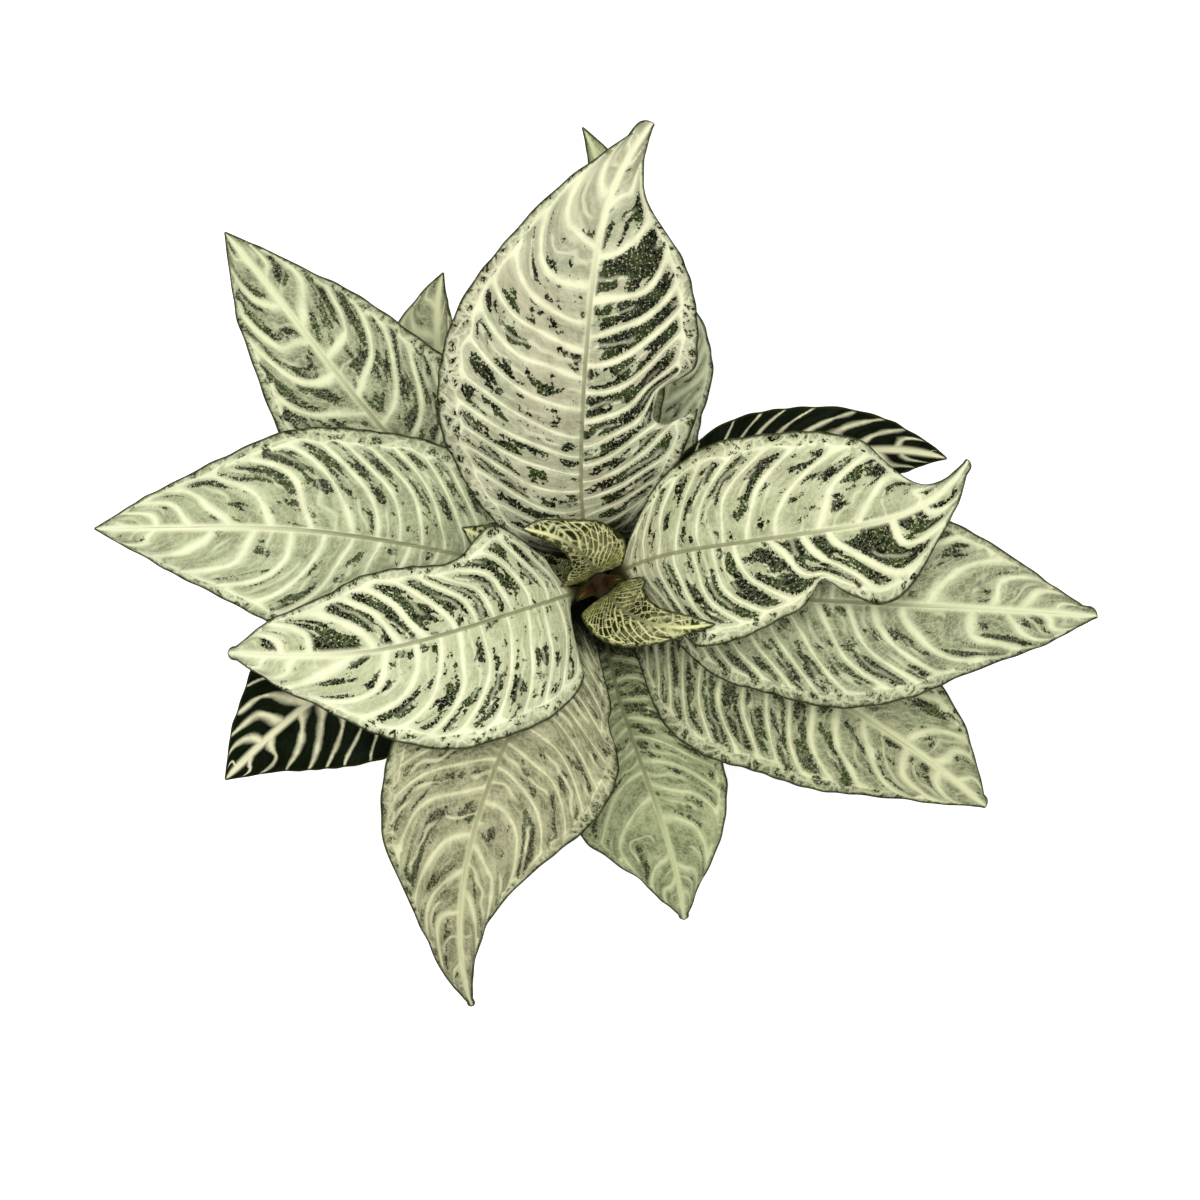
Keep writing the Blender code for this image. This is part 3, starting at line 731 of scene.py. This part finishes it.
def vein_gap(count, flat_x, flat_y):
    """Metres from one vein to the next, square to them, at each point of the grid."""
    count_r, count_a = np.gradient(count)
    x_r, x_a = np.gradient(flat_x)
    y_r, y_a = np.gradient(flat_y)
    area = x_r * y_a - x_a * y_r
    area = np.where(np.abs(area) < 1e-9, 1e-9, area)
    slope_x = (count_r * y_a - count_a * y_r) / area
    slope_y = (count_a * x_r - count_r * x_a) / area
    return 1.0 / np.clip(np.hypot(slope_x, slope_y), 40.0, 500.0)


def leaf_piece(name, leaf, order):
    """The blade's two faces joined round the margin, with its vein places kept on the mesh."""
    rows = int(leaf["veins"] * ROWS_PER_VEIN)
    even = np.linspace(-1.0, 1.0, COLUMNS + 1)
    across_line = np.sign(even) * (0.5 * np.abs(even) + 0.5 * even * even)
    row, across = np.meshgrid(np.linspace(0.0, 1.0, rows + 1), across_line, indexing="ij")
    line = midrib(leaf)
    top, count, width, t = blade(leaf, line, row, across, name)
    along = np.gradient(top, axis=0)
    aside = np.gradient(top, axis=1)
    normal = np.cross(along, aside)
    normal /= np.maximum(np.linalg.norm(normal, axis=2), 1e-12)[..., None]
    side_y = across * width
    near = np.exp(-(side_y / MIDRIB_REACH) ** 2) * (1.0 - row) ** 0.6
    rib = 0.0003 * (1.0 - np.abs(np.sin(np.pi * count))) ** 4 * (1.0 - np.abs(across))
    thick = MARGIN_THICKNESS + (BLADE_THICKNESS - MARGIN_THICKNESS) * smooth_step((1 - np.abs(across)) / 0.3)
    thick = thick + rib + (MIDRIB_THICKNESS - BLADE_THICKNESS) * near * min(1.0, leaf["length"] / 0.06)
    under = top - normal * thick[..., None]

    wide = COLUMNS + 1
    layer = (rows + 1) * wide
    i, j = np.meshgrid(np.arange(rows), np.arange(COLUMNS), indexing="ij")
    corner = (i * wide + j).ravel()
    quads = np.stack([corner, corner + wide, corner + wide + 1, corner + 1], 1)
    edge = np.concatenate([
        np.arange(rows) * wide,
        rows * wide + np.arange(COLUMNS),
        (np.arange(rows, 0, -1)) * wide + COLUMNS,
        np.arange(COLUMNS, 0, -1)])
    ring = np.stack([edge, np.roll(edge, -1)], 1)
    skirt = np.stack([ring[:, 1], ring[:, 0], ring[:, 0] + layer, ring[:, 1] + layer], 1)
    faces = np.concatenate([quads, quads[:, ::-1] + layer, skirt])
    mesh = bpy.data.meshes.new(name)
    points = np.concatenate([top.reshape(-1, 3), under.reshape(-1, 3)])
    mesh.from_pydata(points.tolist(), [], faces.tolist())

    flat_x = t * leaf["length"]
    seed = 10.0 * order
    flecks = np.where(across >= 0.0, through(leaf["left_flecks"], t), through(leaf["right_flecks"], t))
    kept = {
        "vein_place": np.stack([count, across, row], 2),
        "flat_place": np.stack([flat_x, side_y, np.full_like(t, seed)], 2),
        "vein_look": np.stack([vein_gap(count, flat_x, side_y), flecks, width], 2),
    }
    for title, values in kept.items():
        both = np.concatenate([values.reshape(-1, 3)] * 2)
        mesh.attributes.new(title, "FLOAT_VECTOR", "POINT").data.foreach_set("vector", both.ravel())
    under_face = np.zeros(len(faces), int)
    under_face[len(quads):2 * len(quads)] = 1
    mesh.polygons.foreach_set("material_index", under_face)

    loops = np.empty(len(mesh.loops), int)
    mesh.loops.foreach_get("vertex_index", loops)
    place = loops % layer
    u = (place // wide) / rows
    v = (place % wide) / COLUMNS
    below = np.repeat(under_face, 4)
    chart = np.stack([0.01 + 0.98 * u, 0.01 + 0.48 * v + 0.5 * below], 1)
    mesh.uv_layers.new(name="OFBake").data.foreach_set("uv", chart.ravel())
    mesh.update()
    mesh.shade_smooth()
    piece = bpy.data.objects.new(name + "_blade", mesh)
    bpy.context.scene.collection.objects.link(piece)
    return piece


def flat_noise(tree, place, scale, detail=1.0, rough=0.6):
    """Noise on the flattened blade, which costs less than noise in space."""
    inputs = {"Vector": place, "Scale": scale, "Detail": detail, "Roughness": rough}
    return put(tree, "ShaderNodeTexNoise", inputs, noise_dimensions="2D").outputs["Fac"]


def flat_place(tree, x, x_scale, y, y_scale, seed):
    """A place on the flattened blade, moved by the leaf's seed so that no two leaves match."""
    return put(tree, "ShaderNodeCombineXYZ", {
        "X": calc(tree, "MULTIPLY_ADD", x, x_scale, seed),
        "Y": calc(tree, "MULTIPLY_ADD", y, y_scale, seed)}).outputs[0]


def flat_cells(tree, place, scale):
    """Distance from the walls of irregular cells, in cells."""
    return put(tree, "ShaderNodeTexVoronoi", {"Vector": place, "Scale": scale},
               feature="DISTANCE_TO_EDGE", voronoi_dimensions="2D").outputs["Distance"]


def leaf_marks_group():
    """The leaf's drawing, each mark as a mask: veins joined in loops, their glow, net and flecks."""
    group, given, out = new_group(
        "leaf marks",
        [("Vein Place", "place"), ("Flat Place", "place"), ("Vein Look", "place"),
         ("Vein Width", "value"), ("Vein Taper", "value"), ("Loop Share", "value"), ("Loop Gaps", "value"),
         ("Flank", "value"), ("Vein Blur", "value"),
         ("Lesser", "value"), ("Net", "value"), ("Net Meshes", "value"), ("Net Line", "value"),
         ("Base Reach", "value")],
        [("Vein", "value"), ("Glow", "value"), ("Net", "value"), ("Fleck", "value"),
         ("Stain", "value"), ("Midrib", "value"), ("Edge", "value"), ("Margin", "value"),
         ("Mottle", "value"), ("Wrinkle", "value"), ("Blush", "value"), ("Base", "value"),
         ("Cream", "value")])
    tree = group
    vein_split = put(tree, "ShaderNodeSeparateXYZ", {0: given["Vein Place"]}).outputs
    flat_split = put(tree, "ShaderNodeSeparateXYZ", {0: given["Flat Place"]}).outputs
    look_split = put(tree, "ShaderNodeSeparateXYZ", {0: given["Vein Look"]}).outputs
    count, across, row = vein_split["X"], vein_split["Y"], vein_split["Z"]
    along, aside, seed = flat_split["X"], flat_split["Y"], flat_split["Z"]
    gap, share, half = look_split["X"], look_split["Y"], look_split["Z"]
    out_share = calc(tree, "ABSOLUTE", across)
    off_rib = calc(tree, "ABSOLUTE", aside)
    centimetres = flat_place(tree, along, 100.0, aside, 100.0, seed)
    ragged = calc(tree, "SUBTRACT", flat_noise(tree, centimetres, 7.0, 2.0), 0.5)
    broad = calc(tree, "SUBTRACT", flat_noise(tree, centimetres, 0.8, 1.0), 0.5)
    distal = step(tree, row, 0.3, 0.75)

    # Metres from the nearest vein and from the line of loops inside the margin, one rounded into
    # the other at the panel's outer corners
    off_vein = calc(tree, "MULTIPLY", calc(tree, "PINGPONG", count, 0.5), gap)
    loop_at = calc(tree, "MULTIPLY_ADD", broad, 0.10, given["Loop Share"])
    off_loop = calc(tree, "MULTIPLY", calc(tree, "SUBTRACT", loop_at, out_share), half)
    corner = calc(tree, "MULTIPLY", calc(tree, "MINIMUM", gap, half), LOOP_CORNER)
    patchy = flat_noise(tree, centimetres, 1.3, 1.0)
    broken = calc(tree, "SUBTRACT", patchy, calc(tree, "MULTIPLY_ADD", given["Loop Gaps"], -0.3, 0.66))
    broken = calc(tree, "MULTIPLY", step(tree, broken, 0.0, 0.1), 0.002)
    inside = calc(tree, "SMOOTH_MIN", off_vein, calc(tree, "ADD", off_loop, broken), corner)
    flare = calc(tree, "MULTIPLY", step(tree, off_rib, 0.018, 0.0), distal)
    near_tip = step(tree, half, 0.0, 0.020)
    width = calc(tree, "MULTIPLY_ADD", distal, 0.55, 0.45)
    width = calc(tree, "MULTIPLY_ADD", flare, 0.5, width)
    width = calc(tree, "MULTIPLY", width, calc(tree, "MULTIPLY_ADD", broad, 1.8, 1.0))
    thinned = calc(tree, "MULTIPLY", given["Vein Taper"], out_share)
    width = calc(tree, "MULTIPLY", width, calc(tree, "SUBTRACT", 1.0, thinned))
    width = calc(tree, "MULTIPLY", calc(tree, "MULTIPLY", width, given["Vein Width"]), near_tip)
    rough_inside = calc(tree, "MULTIPLY_ADD", ragged, calc(tree, "MULTIPLY", gap, 0.07), inside)
    vein = step(tree, rough_inside, calc(tree, "MULTIPLY", width, given["Vein Blur"]), 0.0)
    beyond = calc(tree, "MULTIPLY", off_loop, -1.0)
    loop_width = calc(tree, "MULTIPLY", calc(tree, "MULTIPLY", given["Vein Width"], near_tip), 1.1)
    loop_width = calc(tree, "MULTIPLY_ADD", ragged, 0.0012, loop_width)
    vein = calc(tree, "MULTIPLY", vein, step(tree, beyond, loop_width, 0.0))
    mottle = flat_noise(tree, centimetres, 0.9, 2.0)
    strong = calc(tree, "MULTIPLY_ADD", step(tree, mottle, 0.36, 0.6), 0.3, 0.7)
    vein = calc(tree, "MULTIPLY", vein, strong)

    # Small cells between the loops and the margin
    jag = put(tree, "ShaderNodeCombineXYZ", {
        "X": calc(tree, "MULTIPLY_ADD", broad, 1.2, calc(tree, "MULTIPLY", ragged, 0.25)),
        "Y": calc(tree, "MULTIPLY", ragged, 0.3)}).outputs[0]
    mesh_place = put(tree, "ShaderNodeVectorMath", {0: centimetres, 1: jag}, operation="ADD").outputs[0]
    outer_cells = flat_cells(tree, mesh_place, OUTER_MESHES)
    outside = step(tree, beyond, 0.0, 0.0006)
    short = calc(tree, "MULTIPLY", step(tree, outer_cells, 0.16, 0.02), outside)

    # Lesser veins between the main ones, and a fine net
    lesser = calc(tree, "ADD", calc(tree, "MULTIPLY_ADD", broad, 0.6, count), 0.5)
    lesser = calc(tree, "MULTIPLY", calc(tree, "PINGPONG", lesser, 0.5), gap)
    lesser = calc(tree, "MULTIPLY_ADD", ragged, 0.0006, lesser)
    fork = flat_noise(tree, centimetres, 0.6, 0.0)
    lesser = calc(tree, "MULTIPLY", step(tree, lesser, 0.0013, 0.0002), step(tree, fork, 0.44, 0.58))
    lesser = calc(tree, "MULTIPLY", lesser, step(tree, beyond, 0.0, -0.003))
    net_cells = flat_cells(tree, mesh_place, given["Net Meshes"])
    fine_net = step(tree, net_cells, given["Net Line"], 0.03)
    net = calc(tree, "MULTIPLY", fine_net, given["Net"])
    net = calc(tree, "MAXIMUM", net, calc(tree, "MULTIPLY", lesser, given["Lesser"]))
    net = calc(tree, "MAXIMUM", net, calc(tree, "MULTIPLY", short, 0.65))

    # Dark flecks: ragged grains drawn out along the veins, dense in the clouds between them
    cloud = flat_noise(tree, flat_place(tree, count, 1.6, aside, 125.0, seed), 1.0, 2.0)
    cloud = calc(tree, "MULTIPLY_ADD", calc(tree, "SUBTRACT", share, 0.5), 0.34, cloud)
    cloud = calc(tree, "MULTIPLY_ADD", calc(tree, "SUBTRACT", out_share, 0.45), 0.22, cloud)
    cloud = calc(tree, "MULTIPLY", step(tree, cloud, 0.46, 0.62), step(tree, rough_inside, 0.0006, 0.0022))
    outer_cloud = calc(tree, "MULTIPLY", step(tree, outer_cells, 0.10, 0.30), outside)
    outer_cloud = calc(tree, "MULTIPLY", outer_cloud, step(tree, share, 0.0, 0.35))
    outer_cloud = calc(tree, "MULTIPLY", outer_cloud, step(tree, patchy, 0.38, 0.56))
    cloud = calc(tree, "MAXIMUM", cloud, calc(tree, "MULTIPLY", outer_cloud, 0.8))
    grain = flat_noise(tree, centimetres, 9.5, 2.0, 0.68)
    least = calc(tree, "MULTIPLY_ADD", cloud, -0.44, 0.77)
    fleck = step(tree, calc(tree, "SUBTRACT", grain, least), 0.0, 0.03)
    clear = calc(tree, "SUBTRACT", 1.0, calc(tree, "MAXIMUM", vein, calc(tree, "MULTIPLY", net, 0.8)),
                 clamp=True)
    fleck = calc(tree, "MULTIPLY", calc(tree, "MULTIPLY", fleck, clear), step(tree, cloud, 0.02, 0.15))
    stain = calc(tree, "MULTIPLY", calc(tree, "MULTIPLY", cloud, clear), step(tree, grain, 0.2, 0.55))

    glow = step(tree, inside, calc(tree, "MULTIPLY", gap, 0.32), 0.0)
    glow = calc(tree, "MULTIPLY", glow, step(tree, beyond, 0.004, 0.0))
    glow = calc(tree, "MULTIPLY", glow, calc(tree, "MULTIPLY_ADD", mottle, 1.0, 0.4))
    glow = calc(tree, "MULTIPLY", glow, calc(tree, "MULTIPLY_ADD", distal, 0.35, 0.65))
    flank = calc(tree, "MULTIPLY", step(tree, off_rib, calc(tree, "MULTIPLY", given["Vein Width"], given["Flank"]), 0.0004), distal)
    flank = calc(tree, "MULTIPLY", flank, step(tree, out_share, 0.5, 0.1))
    rib = calc(tree, "MULTIPLY", step(tree, off_rib, 0.0011, 0.0005), step(tree, row, 0.85, 0.45))
    from_edge = calc(tree, "MULTIPLY", calc(tree, "SUBTRACT", 1.0, out_share), half)
    edge = step(tree, calc(tree, "MULTIPLY_ADD", ragged, 0.0008, from_edge), 0.0014, 0.0004)
    margin = calc(tree, "MULTIPLY_ADD", ragged, 0.003, from_edge)
    margin = step(tree, margin, 0.0046, 0.0004)
    # Fine wrinkles along the veins. They give bumps on the surface, and a painted sheen in the top's colour.
    wrinkle = flat_noise(tree, flat_place(tree, count, 7.0, aside, 240.0, seed), 1.0, 3.0)
    blush = step(tree, flat_noise(tree, centimetres, 0.35, 0.0), 0.5, 0.72)
    # The Base mark covers the stalk end of the blade and fades out at Base Reach from the stem. The looks lay
    # a base coat there, which is mostly painted shade.
    marks = (("Vein", calc(tree, "MAXIMUM", vein, flank)), ("Glow", glow), ("Net", net),
             ("Fleck", fleck), ("Stain", stain), ("Midrib", rib), ("Edge", edge),
             ("Margin", margin), ("Mottle", mottle), ("Wrinkle", wrinkle), ("Blush", blush),
             ("Base", step(tree, along, given["Base Reach"],
                           calc(tree, "MULTIPLY", given["Base Reach"], 0.45))),
             ("Cream", calc(tree, "MULTIPLY", step(tree, row, 0.4, 0.95), step(tree, net_cells, 0.32, 0.12))))
    for title, value in marks:
        group.links.new(value, out.inputs[title])
    return group


LOOP_SHARE = 0.86
NO_LOOPS = 1.5
LOOP_CORNER = 0.55
NET_MESHES = 4.2
NET_LINE = 0.17
FLANK = 3.8
VEIN_BLUR = 3.0
OUTER_MESHES = 2.0
LEAF_MARKS = leaf_marks_group()

RIB_OLIVE = (0.26, 0.26, 0.13)
BLUSH = (0.50, 0.42, 0.29)
FLECK_DARK = (0.0035, 0.006, 0.0006)
FLECK_GREEN = (0.022, 0.038, 0.005)
STAIN_OLIVE = (0.080, 0.098, 0.030)
EDGE_GREEN = (0.027, 0.036, 0.005)
# Coats for the leaf's stalk end. Each is given as its reach from the stem in metres, its colour and its cover
# over the marks. The near-black coat is painted shade: the dark of the deep gaps round the stem. The dark
# olive coat is the stalk's olive, darkened with painted shade. The yellow-green coat is the young leaves' own
# base colour.
BASE_PAINTED_SHADE = (0.036, (0.004, 0.005, 0.002), 1.0)
BASE_OLIVE_AND_SHADE = (0.016, (0.035, 0.030, 0.010), 1.0)
BASE_YELLOW = (0.012, (0.12, 0.125, 0.010), 0.15)
# The shaded and dim looks are darker copies of the leaf colouring. They are painted shade, for leaves that lie
# under others.
LOOKS = {
    "large": dict(field=(0.35, 0.355, 0.22), light=(0.55, 0.55, 0.37), vein=(0.92, 0.92, 0.62),
                  width=0.0007, taper=0.2, loop=LOOP_SHARE, gaps=0.2, lesser=0.6, net=0.15,
                  glow=0.5, stain=0.65, fleck=1.0, blush=0.3, base=BASE_PAINTED_SHADE),
    "clear": dict(field=(0.47, 0.50, 0.285), light=(0.63, 0.66, 0.40), vein=(0.96, 0.97, 0.66),
                  width=0.0008, taper=0.2, loop=LOOP_SHARE, gaps=0.3, lesser=0.6, net=0.25,
                  glow=0.6, stain=0.65, fleck=1.0, blush=0.1, base=BASE_OLIVE_AND_SHADE),
    "bright": dict(field=(0.37, 0.39, 0.215), light=(0.56, 0.585, 0.35), vein=(0.94, 0.95, 0.63),
                   width=0.0007, taper=0.2, loop=LOOP_SHARE, gaps=0.3, lesser=0.6, net=0.25,
                   glow=0.55, stain=0.65, fleck=1.0, blush=0.2, base=BASE_OLIVE_AND_SHADE),
    "pale": dict(field=(0.30, 0.325, 0.18), light=(0.50, 0.54, 0.31), vein=(0.93, 0.95, 0.63),
                 width=0.0007, taper=0.2, loop=LOOP_SHARE, gaps=0.3, lesser=0.6, net=0.25,
                 glow=0.55, stain=0.65, fleck=0.9, blush=0.0, base=BASE_PAINTED_SHADE),
    "shaded": dict(field=(0.205, 0.22, 0.12), light=(0.41, 0.435, 0.255), vein=(0.86, 0.88, 0.56),
                   width=0.0008, taper=0.3, loop=LOOP_SHARE, gaps=0.7, lesser=0.6, net=0.35,
                   glow=0.5, stain=0.7, fleck=0.9, blush=0.0, base=BASE_PAINTED_SHADE),
    "dim": dict(field=(0.19, 0.205, 0.11), light=(0.38, 0.40, 0.225), vein=(0.80, 0.81, 0.49),
                width=0.0008, taper=0.3, loop=LOOP_SHARE, gaps=0.7, lesser=0.6, net=0.35,
                glow=0.5, stain=0.65, fleck=0.9, blush=0.0, base=BASE_PAINTED_SHADE),
    "grey": dict(field=(0.175, 0.175, 0.09), light=(0.40, 0.40, 0.235), vein=(0.76, 0.76, 0.46),
                 width=0.0006, taper=0.4, loop=LOOP_SHARE, gaps=0.9, lesser=0.9, net=0.3,
                 glow=0.4, stain=0.5, fleck=0.8, blush=0.1, base=BASE_PAINTED_SHADE),
    "plain": dict(field=(0.185, 0.21, 0.10), light=(0.42, 0.45, 0.24), vein=(0.72, 0.76, 0.43),
                  width=0.0006, taper=0.4, loop=LOOP_SHARE, gaps=0.8, lesser=0.8, net=0.35,
                  glow=0.45, stain=0.5, fleck=0.8, blush=0.0, base=BASE_PAINTED_SHADE),
    "dark": dict(field=(0.003, 0.006, 0.0015), light=(0.008, 0.014, 0.004), vein=(0.96, 0.94, 0.61),
                 width=0.0014, flank=1.7, blur=2.0, taper=0.65, loop=NO_LOOPS, gaps=0.0, lesser=0.0, net=0.0,
                 glow=0.0, stain=0.0, fleck=0.0, blush=0.0, base=BASE_PAINTED_SHADE),
    "young": dict(field=(0.014, 0.015, 0.002), light=(0.042, 0.043, 0.004), vein=(0.90, 0.89, 0.43),
                  width=0.0007, flank=1.4, blur=2.0, taper=0.3, loop=LOOP_SHARE, gaps=0.5, lesser=0.2, net=0.8,
                  meshes=2.9, line=0.11, glow=0.05, stain=0.0, fleck=0.0, blush=0.0, base=BASE_YELLOW),
    "bud": dict(field=(0.030, 0.011, 0.005), light=(0.065, 0.026, 0.008), vein=(0.17, 0.12, 0.04),
                width=0.0002, taper=0.0, loop=LOOP_SHARE, gaps=0.0, lesser=0.0, net=0.3,
                rib=(0.07, 0.035, 0.012), glow=0.1, stain=0.0, fleck=0.0, blush=0.0,
                base=(0.003, (0.03, 0.012, 0.006), 1.0)),
}


LEAF_GLOSS = 0.04
STAIN_STRENGTH = 0.55
NET_STRENGTH = 0.8
YOUNG_CREAM = (0.62, 0.66, 0.36)


def leaf_marks_in(tree, look, width_share=1.0, net=None):
    """The leaf marks, fed from the places kept on the mesh."""
    places = {}
    for title in ("Vein Place", "Flat Place", "Vein Look"):
        kept = put(tree, "ShaderNodeAttribute", attribute_name=title.lower().replace(" ", "_"))
        places[title.replace(" ", "_")] = kept.outputs["Vector"]
    return use_group(tree, LEAF_MARKS, Vein_Width=look["width"] * width_share,
                     Vein_Taper=look["taper"], Loop_Share=look["loop"], Loop_Gaps=look["gaps"], Flank=look.get("flank", FLANK),
                     Vein_Blur=look.get("blur", VEIN_BLUR),
                     Lesser=look["lesser"], Net=look["net"] if net is None else net,
                     Net_Meshes=look.get("meshes", NET_MESHES), Net_Line=look.get("line", NET_LINE),
                     Base_Reach=look["base"][0], **places)


def leaf_top_material(title, look):
    made, tree, shader = new_material("leaf top " + title, 0.42, LEAF_GLOSS)
    marks = leaf_marks_in(tree, look)
    # The field lightens toward the look's light colour along the wrinkles, which is painted sheen, and with
    # the mottle, which is the leaf's own tone.
    sheen_and_tone = calc(tree, "MULTIPLY_ADD", marks["Wrinkle"], 0.6, calc(tree, "MULTIPLY", marks["Mottle"], 0.4))
    colour = blend(tree, step(tree, sheen_and_tone, 0.36, 0.66), look["field"], look["light"])
    if look["blush"]:
        colour = blend(tree, calc(tree, "MULTIPLY", marks["Blush"], look["blush"]), colour, BLUSH)
    if title == "young":
        colour = blend(tree, calc(tree, "MULTIPLY", marks["Cream"], 0.8), colour, YOUNG_CREAM)
    if look["glow"]:
        colour = blend(tree, calc(tree, "MULTIPLY", marks["Glow"], look["glow"]), colour, look["vein"])
    if look["stain"]:
        stain = calc(tree, "MULTIPLY", marks["Stain"], STAIN_STRENGTH)
        stain = calc(tree, "MAXIMUM", stain, calc(tree, "MULTIPLY", marks["Margin"], 0.6))
        colour = blend(tree, calc(tree, "MULTIPLY", stain, look["stain"]), colour, STAIN_OLIVE)
    # The base coat near the stem is laid under the marks and again over them. On the grown leaves it is
    # painted shade: near-black on the lower leaves, and partly the olive stalk on the upper pair. On the young
    # leaves and the bud it is their own base colour.
    base_reach, base_tint_and_shade, base_cover = look["base"]
    colour = blend(tree, marks["Base"], colour, base_tint_and_shade)
    colour = blend(tree, calc(tree, "MULTIPLY", marks["Net"], NET_STRENGTH), colour, look["vein"])
    if look["stain"]:
        dark = blend(tree, step(tree, marks["Mottle"], 0.46, 0.6), FLECK_DARK, FLECK_GREEN)
        colour = blend(tree, calc(tree, "MULTIPLY", marks["Fleck"], look["fleck"]), colour, dark)
    colour = blend(tree, marks["Vein"], colour, look["vein"])
    colour = blend(tree, calc(tree, "MULTIPLY", marks["Midrib"], 0.8), colour, look.get("rib", RIB_OLIVE))
    colour = blend(tree, calc(tree, "MULTIPLY", marks["Edge"], 0.9), colour, EDGE_GREEN)
    # The painted shade at the stem, laid over the marks again on the grown leaves.
    colour = blend(tree, calc(tree, "MULTIPLY", marks["Base"], base_cover), colour, base_tint_and_shade)
    tree.links.new(colour, shader.inputs["Base Color"])
    bumps = calc(tree, "MULTIPLY_ADD", marks["Vein"], -0.45, calc(tree, "MULTIPLY", marks["Wrinkle"], 0.9))
    raise_surface(tree, shader, bumps, 0.00045)
    return made


def leaf_under_material(title, look):
    made, tree, shader = new_material("leaf underside " + title, 0.62, 0.3)
    marks = leaf_marks_in(tree, look, 0.6, 0.5)
    colour = blend(tree, step(tree, marks["Mottle"], 0.3, 0.7), (0.16, 0.21, 0.092), (0.25, 0.30, 0.15))
    colour = blend(tree, calc(tree, "MULTIPLY", marks["Net"], 0.35), colour, (0.33, 0.38, 0.21))
    colour = blend(tree, calc(tree, "MULTIPLY", marks["Vein"], 0.7), colour, (0.40, 0.44, 0.26))
    colour = blend(tree, marks["Midrib"], colour, (0.42, 0.44, 0.26))
    colour = blend(tree, marks["Edge"], colour, EDGE_GREEN)
    tree.links.new(colour, shader.inputs["Base Color"])
    raised = calc(tree, "MAXIMUM", marks["Vein"], marks["Net"])
    raise_surface(tree, shader, raised, 0.0003)
    return made


TOPS = {title: leaf_top_material(title, look) for title, look in LOOKS.items()}
UNDERSIDES = {title: leaf_under_material(title, look) for title, look in LOOKS.items()}
for order, (name, leaf) in enumerate({**LEAVES, **BUD_LEAFLETS}.items()):
    piece = leaf_piece(name, leaf, order)
    piece.data.materials.append(TOPS[leaf["look"]])
    piece.data.materials.append(UNDERSIDES[leaf["look"]])
    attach(piece, "root")
    if name in LEAVES:
        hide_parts(name)


# Table, light and camera
# The plant stands on a plain white studio table under broad soft lamps, seen from straight above.
FLOOR_SIZE = 12.0
FLOOR_WHITE = (0.95, 0.95, 0.95)
FLOOR_BOUNCE = (0.4, 0.4, 0.38)
FLOOR_GLOW = 0.6
CAMERA_PLACE = (0.0, -0.006, 1.715)
CAMERA_LENS = 112.5
SENSOR_WIDTH = 36.0

floor_mesh = bpy.data.meshes.new("studio_floor")
floor_shape = bmesh.new()
bmesh.ops.create_grid(floor_shape, x_segments=1, y_segments=1, size=FLOOR_SIZE / 2)
floor_shape.to_mesh(floor_mesh)
floor_shape.free()
studio_floor = bpy.data.objects.new("studio_floor", floor_mesh)
bpy.context.scene.collection.objects.link(studio_floor)
floor_material, floor_tree, floor_shader = new_material("studio white", 0.9, 0.1)
seen = put(floor_tree, "ShaderNodeLightPath").outputs["Is Camera Ray"]
floor_colour = blend(floor_tree, seen, FLOOR_BOUNCE, FLOOR_WHITE)
floor_tree.links.new(floor_colour, floor_shader.inputs["Base Color"])
floor_shader.inputs["Emission Color"].default_value = (1.0, 1.0, 1.0, 1.0)
floor_tree.links.new(calc(floor_tree, "MULTIPLY", seen, FLOOR_GLOW), floor_shader.inputs["Emission Strength"])
studio_floor.data.materials.append(floor_material)


def soft_lamp(name, place, aim, size, power):
    """A square lamp with soft shadows, aimed at a point."""
    lamp = bpy.data.lights.new(name, "AREA")
    lamp.size = size
    lamp.energy = power
    holder = bpy.data.objects.new(name, lamp)
    holder.location = place
    holder.rotation_euler = (Vector(aim) - Vector(place)).to_track_quat("-Z", "Y").to_euler()
    bpy.context.scene.collection.objects.link(holder)


soft_lamp("top_lamp", (-0.12, 0.15, 2.6), (0.0, 0.0, 0.2), 1.1, 38.0)
RING_HEIGHT = 2.1
RING_RADIUS = 1.7
RING_LAMPS = 4
for number in range(RING_LAMPS):
    turn = 2.0 * math.pi * (number + 0.5) / RING_LAMPS
    lamp_place = (RING_RADIUS * math.cos(turn), RING_RADIUS * math.sin(turn), RING_HEIGHT)
    soft_lamp("ring_lamp_%d" % (number + 1), lamp_place, (0.0, 0.0, 0.2), 1.4, 6.0)

world = bpy.data.worlds.new("studio")
world.use_nodes = True
world.node_tree.nodes["Background"].inputs["Color"].default_value = (1.0, 1.0, 1.0, 1.0)
world.node_tree.nodes["Background"].inputs["Strength"].default_value = 0.2
bpy.context.scene.world = world

camera = bpy.data.cameras.new("camera")
camera.lens = CAMERA_LENS
camera.sensor_width = SENSOR_WIDTH
camera.clip_start = 0.01
camera.clip_end = 50.0
camera_holder = bpy.data.objects.new("camera", camera)
camera_holder.location = CAMERA_PLACE
bpy.context.scene.collection.objects.link(camera_holder)
bpy.context.scene.camera = camera_holder
bpy.context.scene.view_settings.view_transform = "Standard"
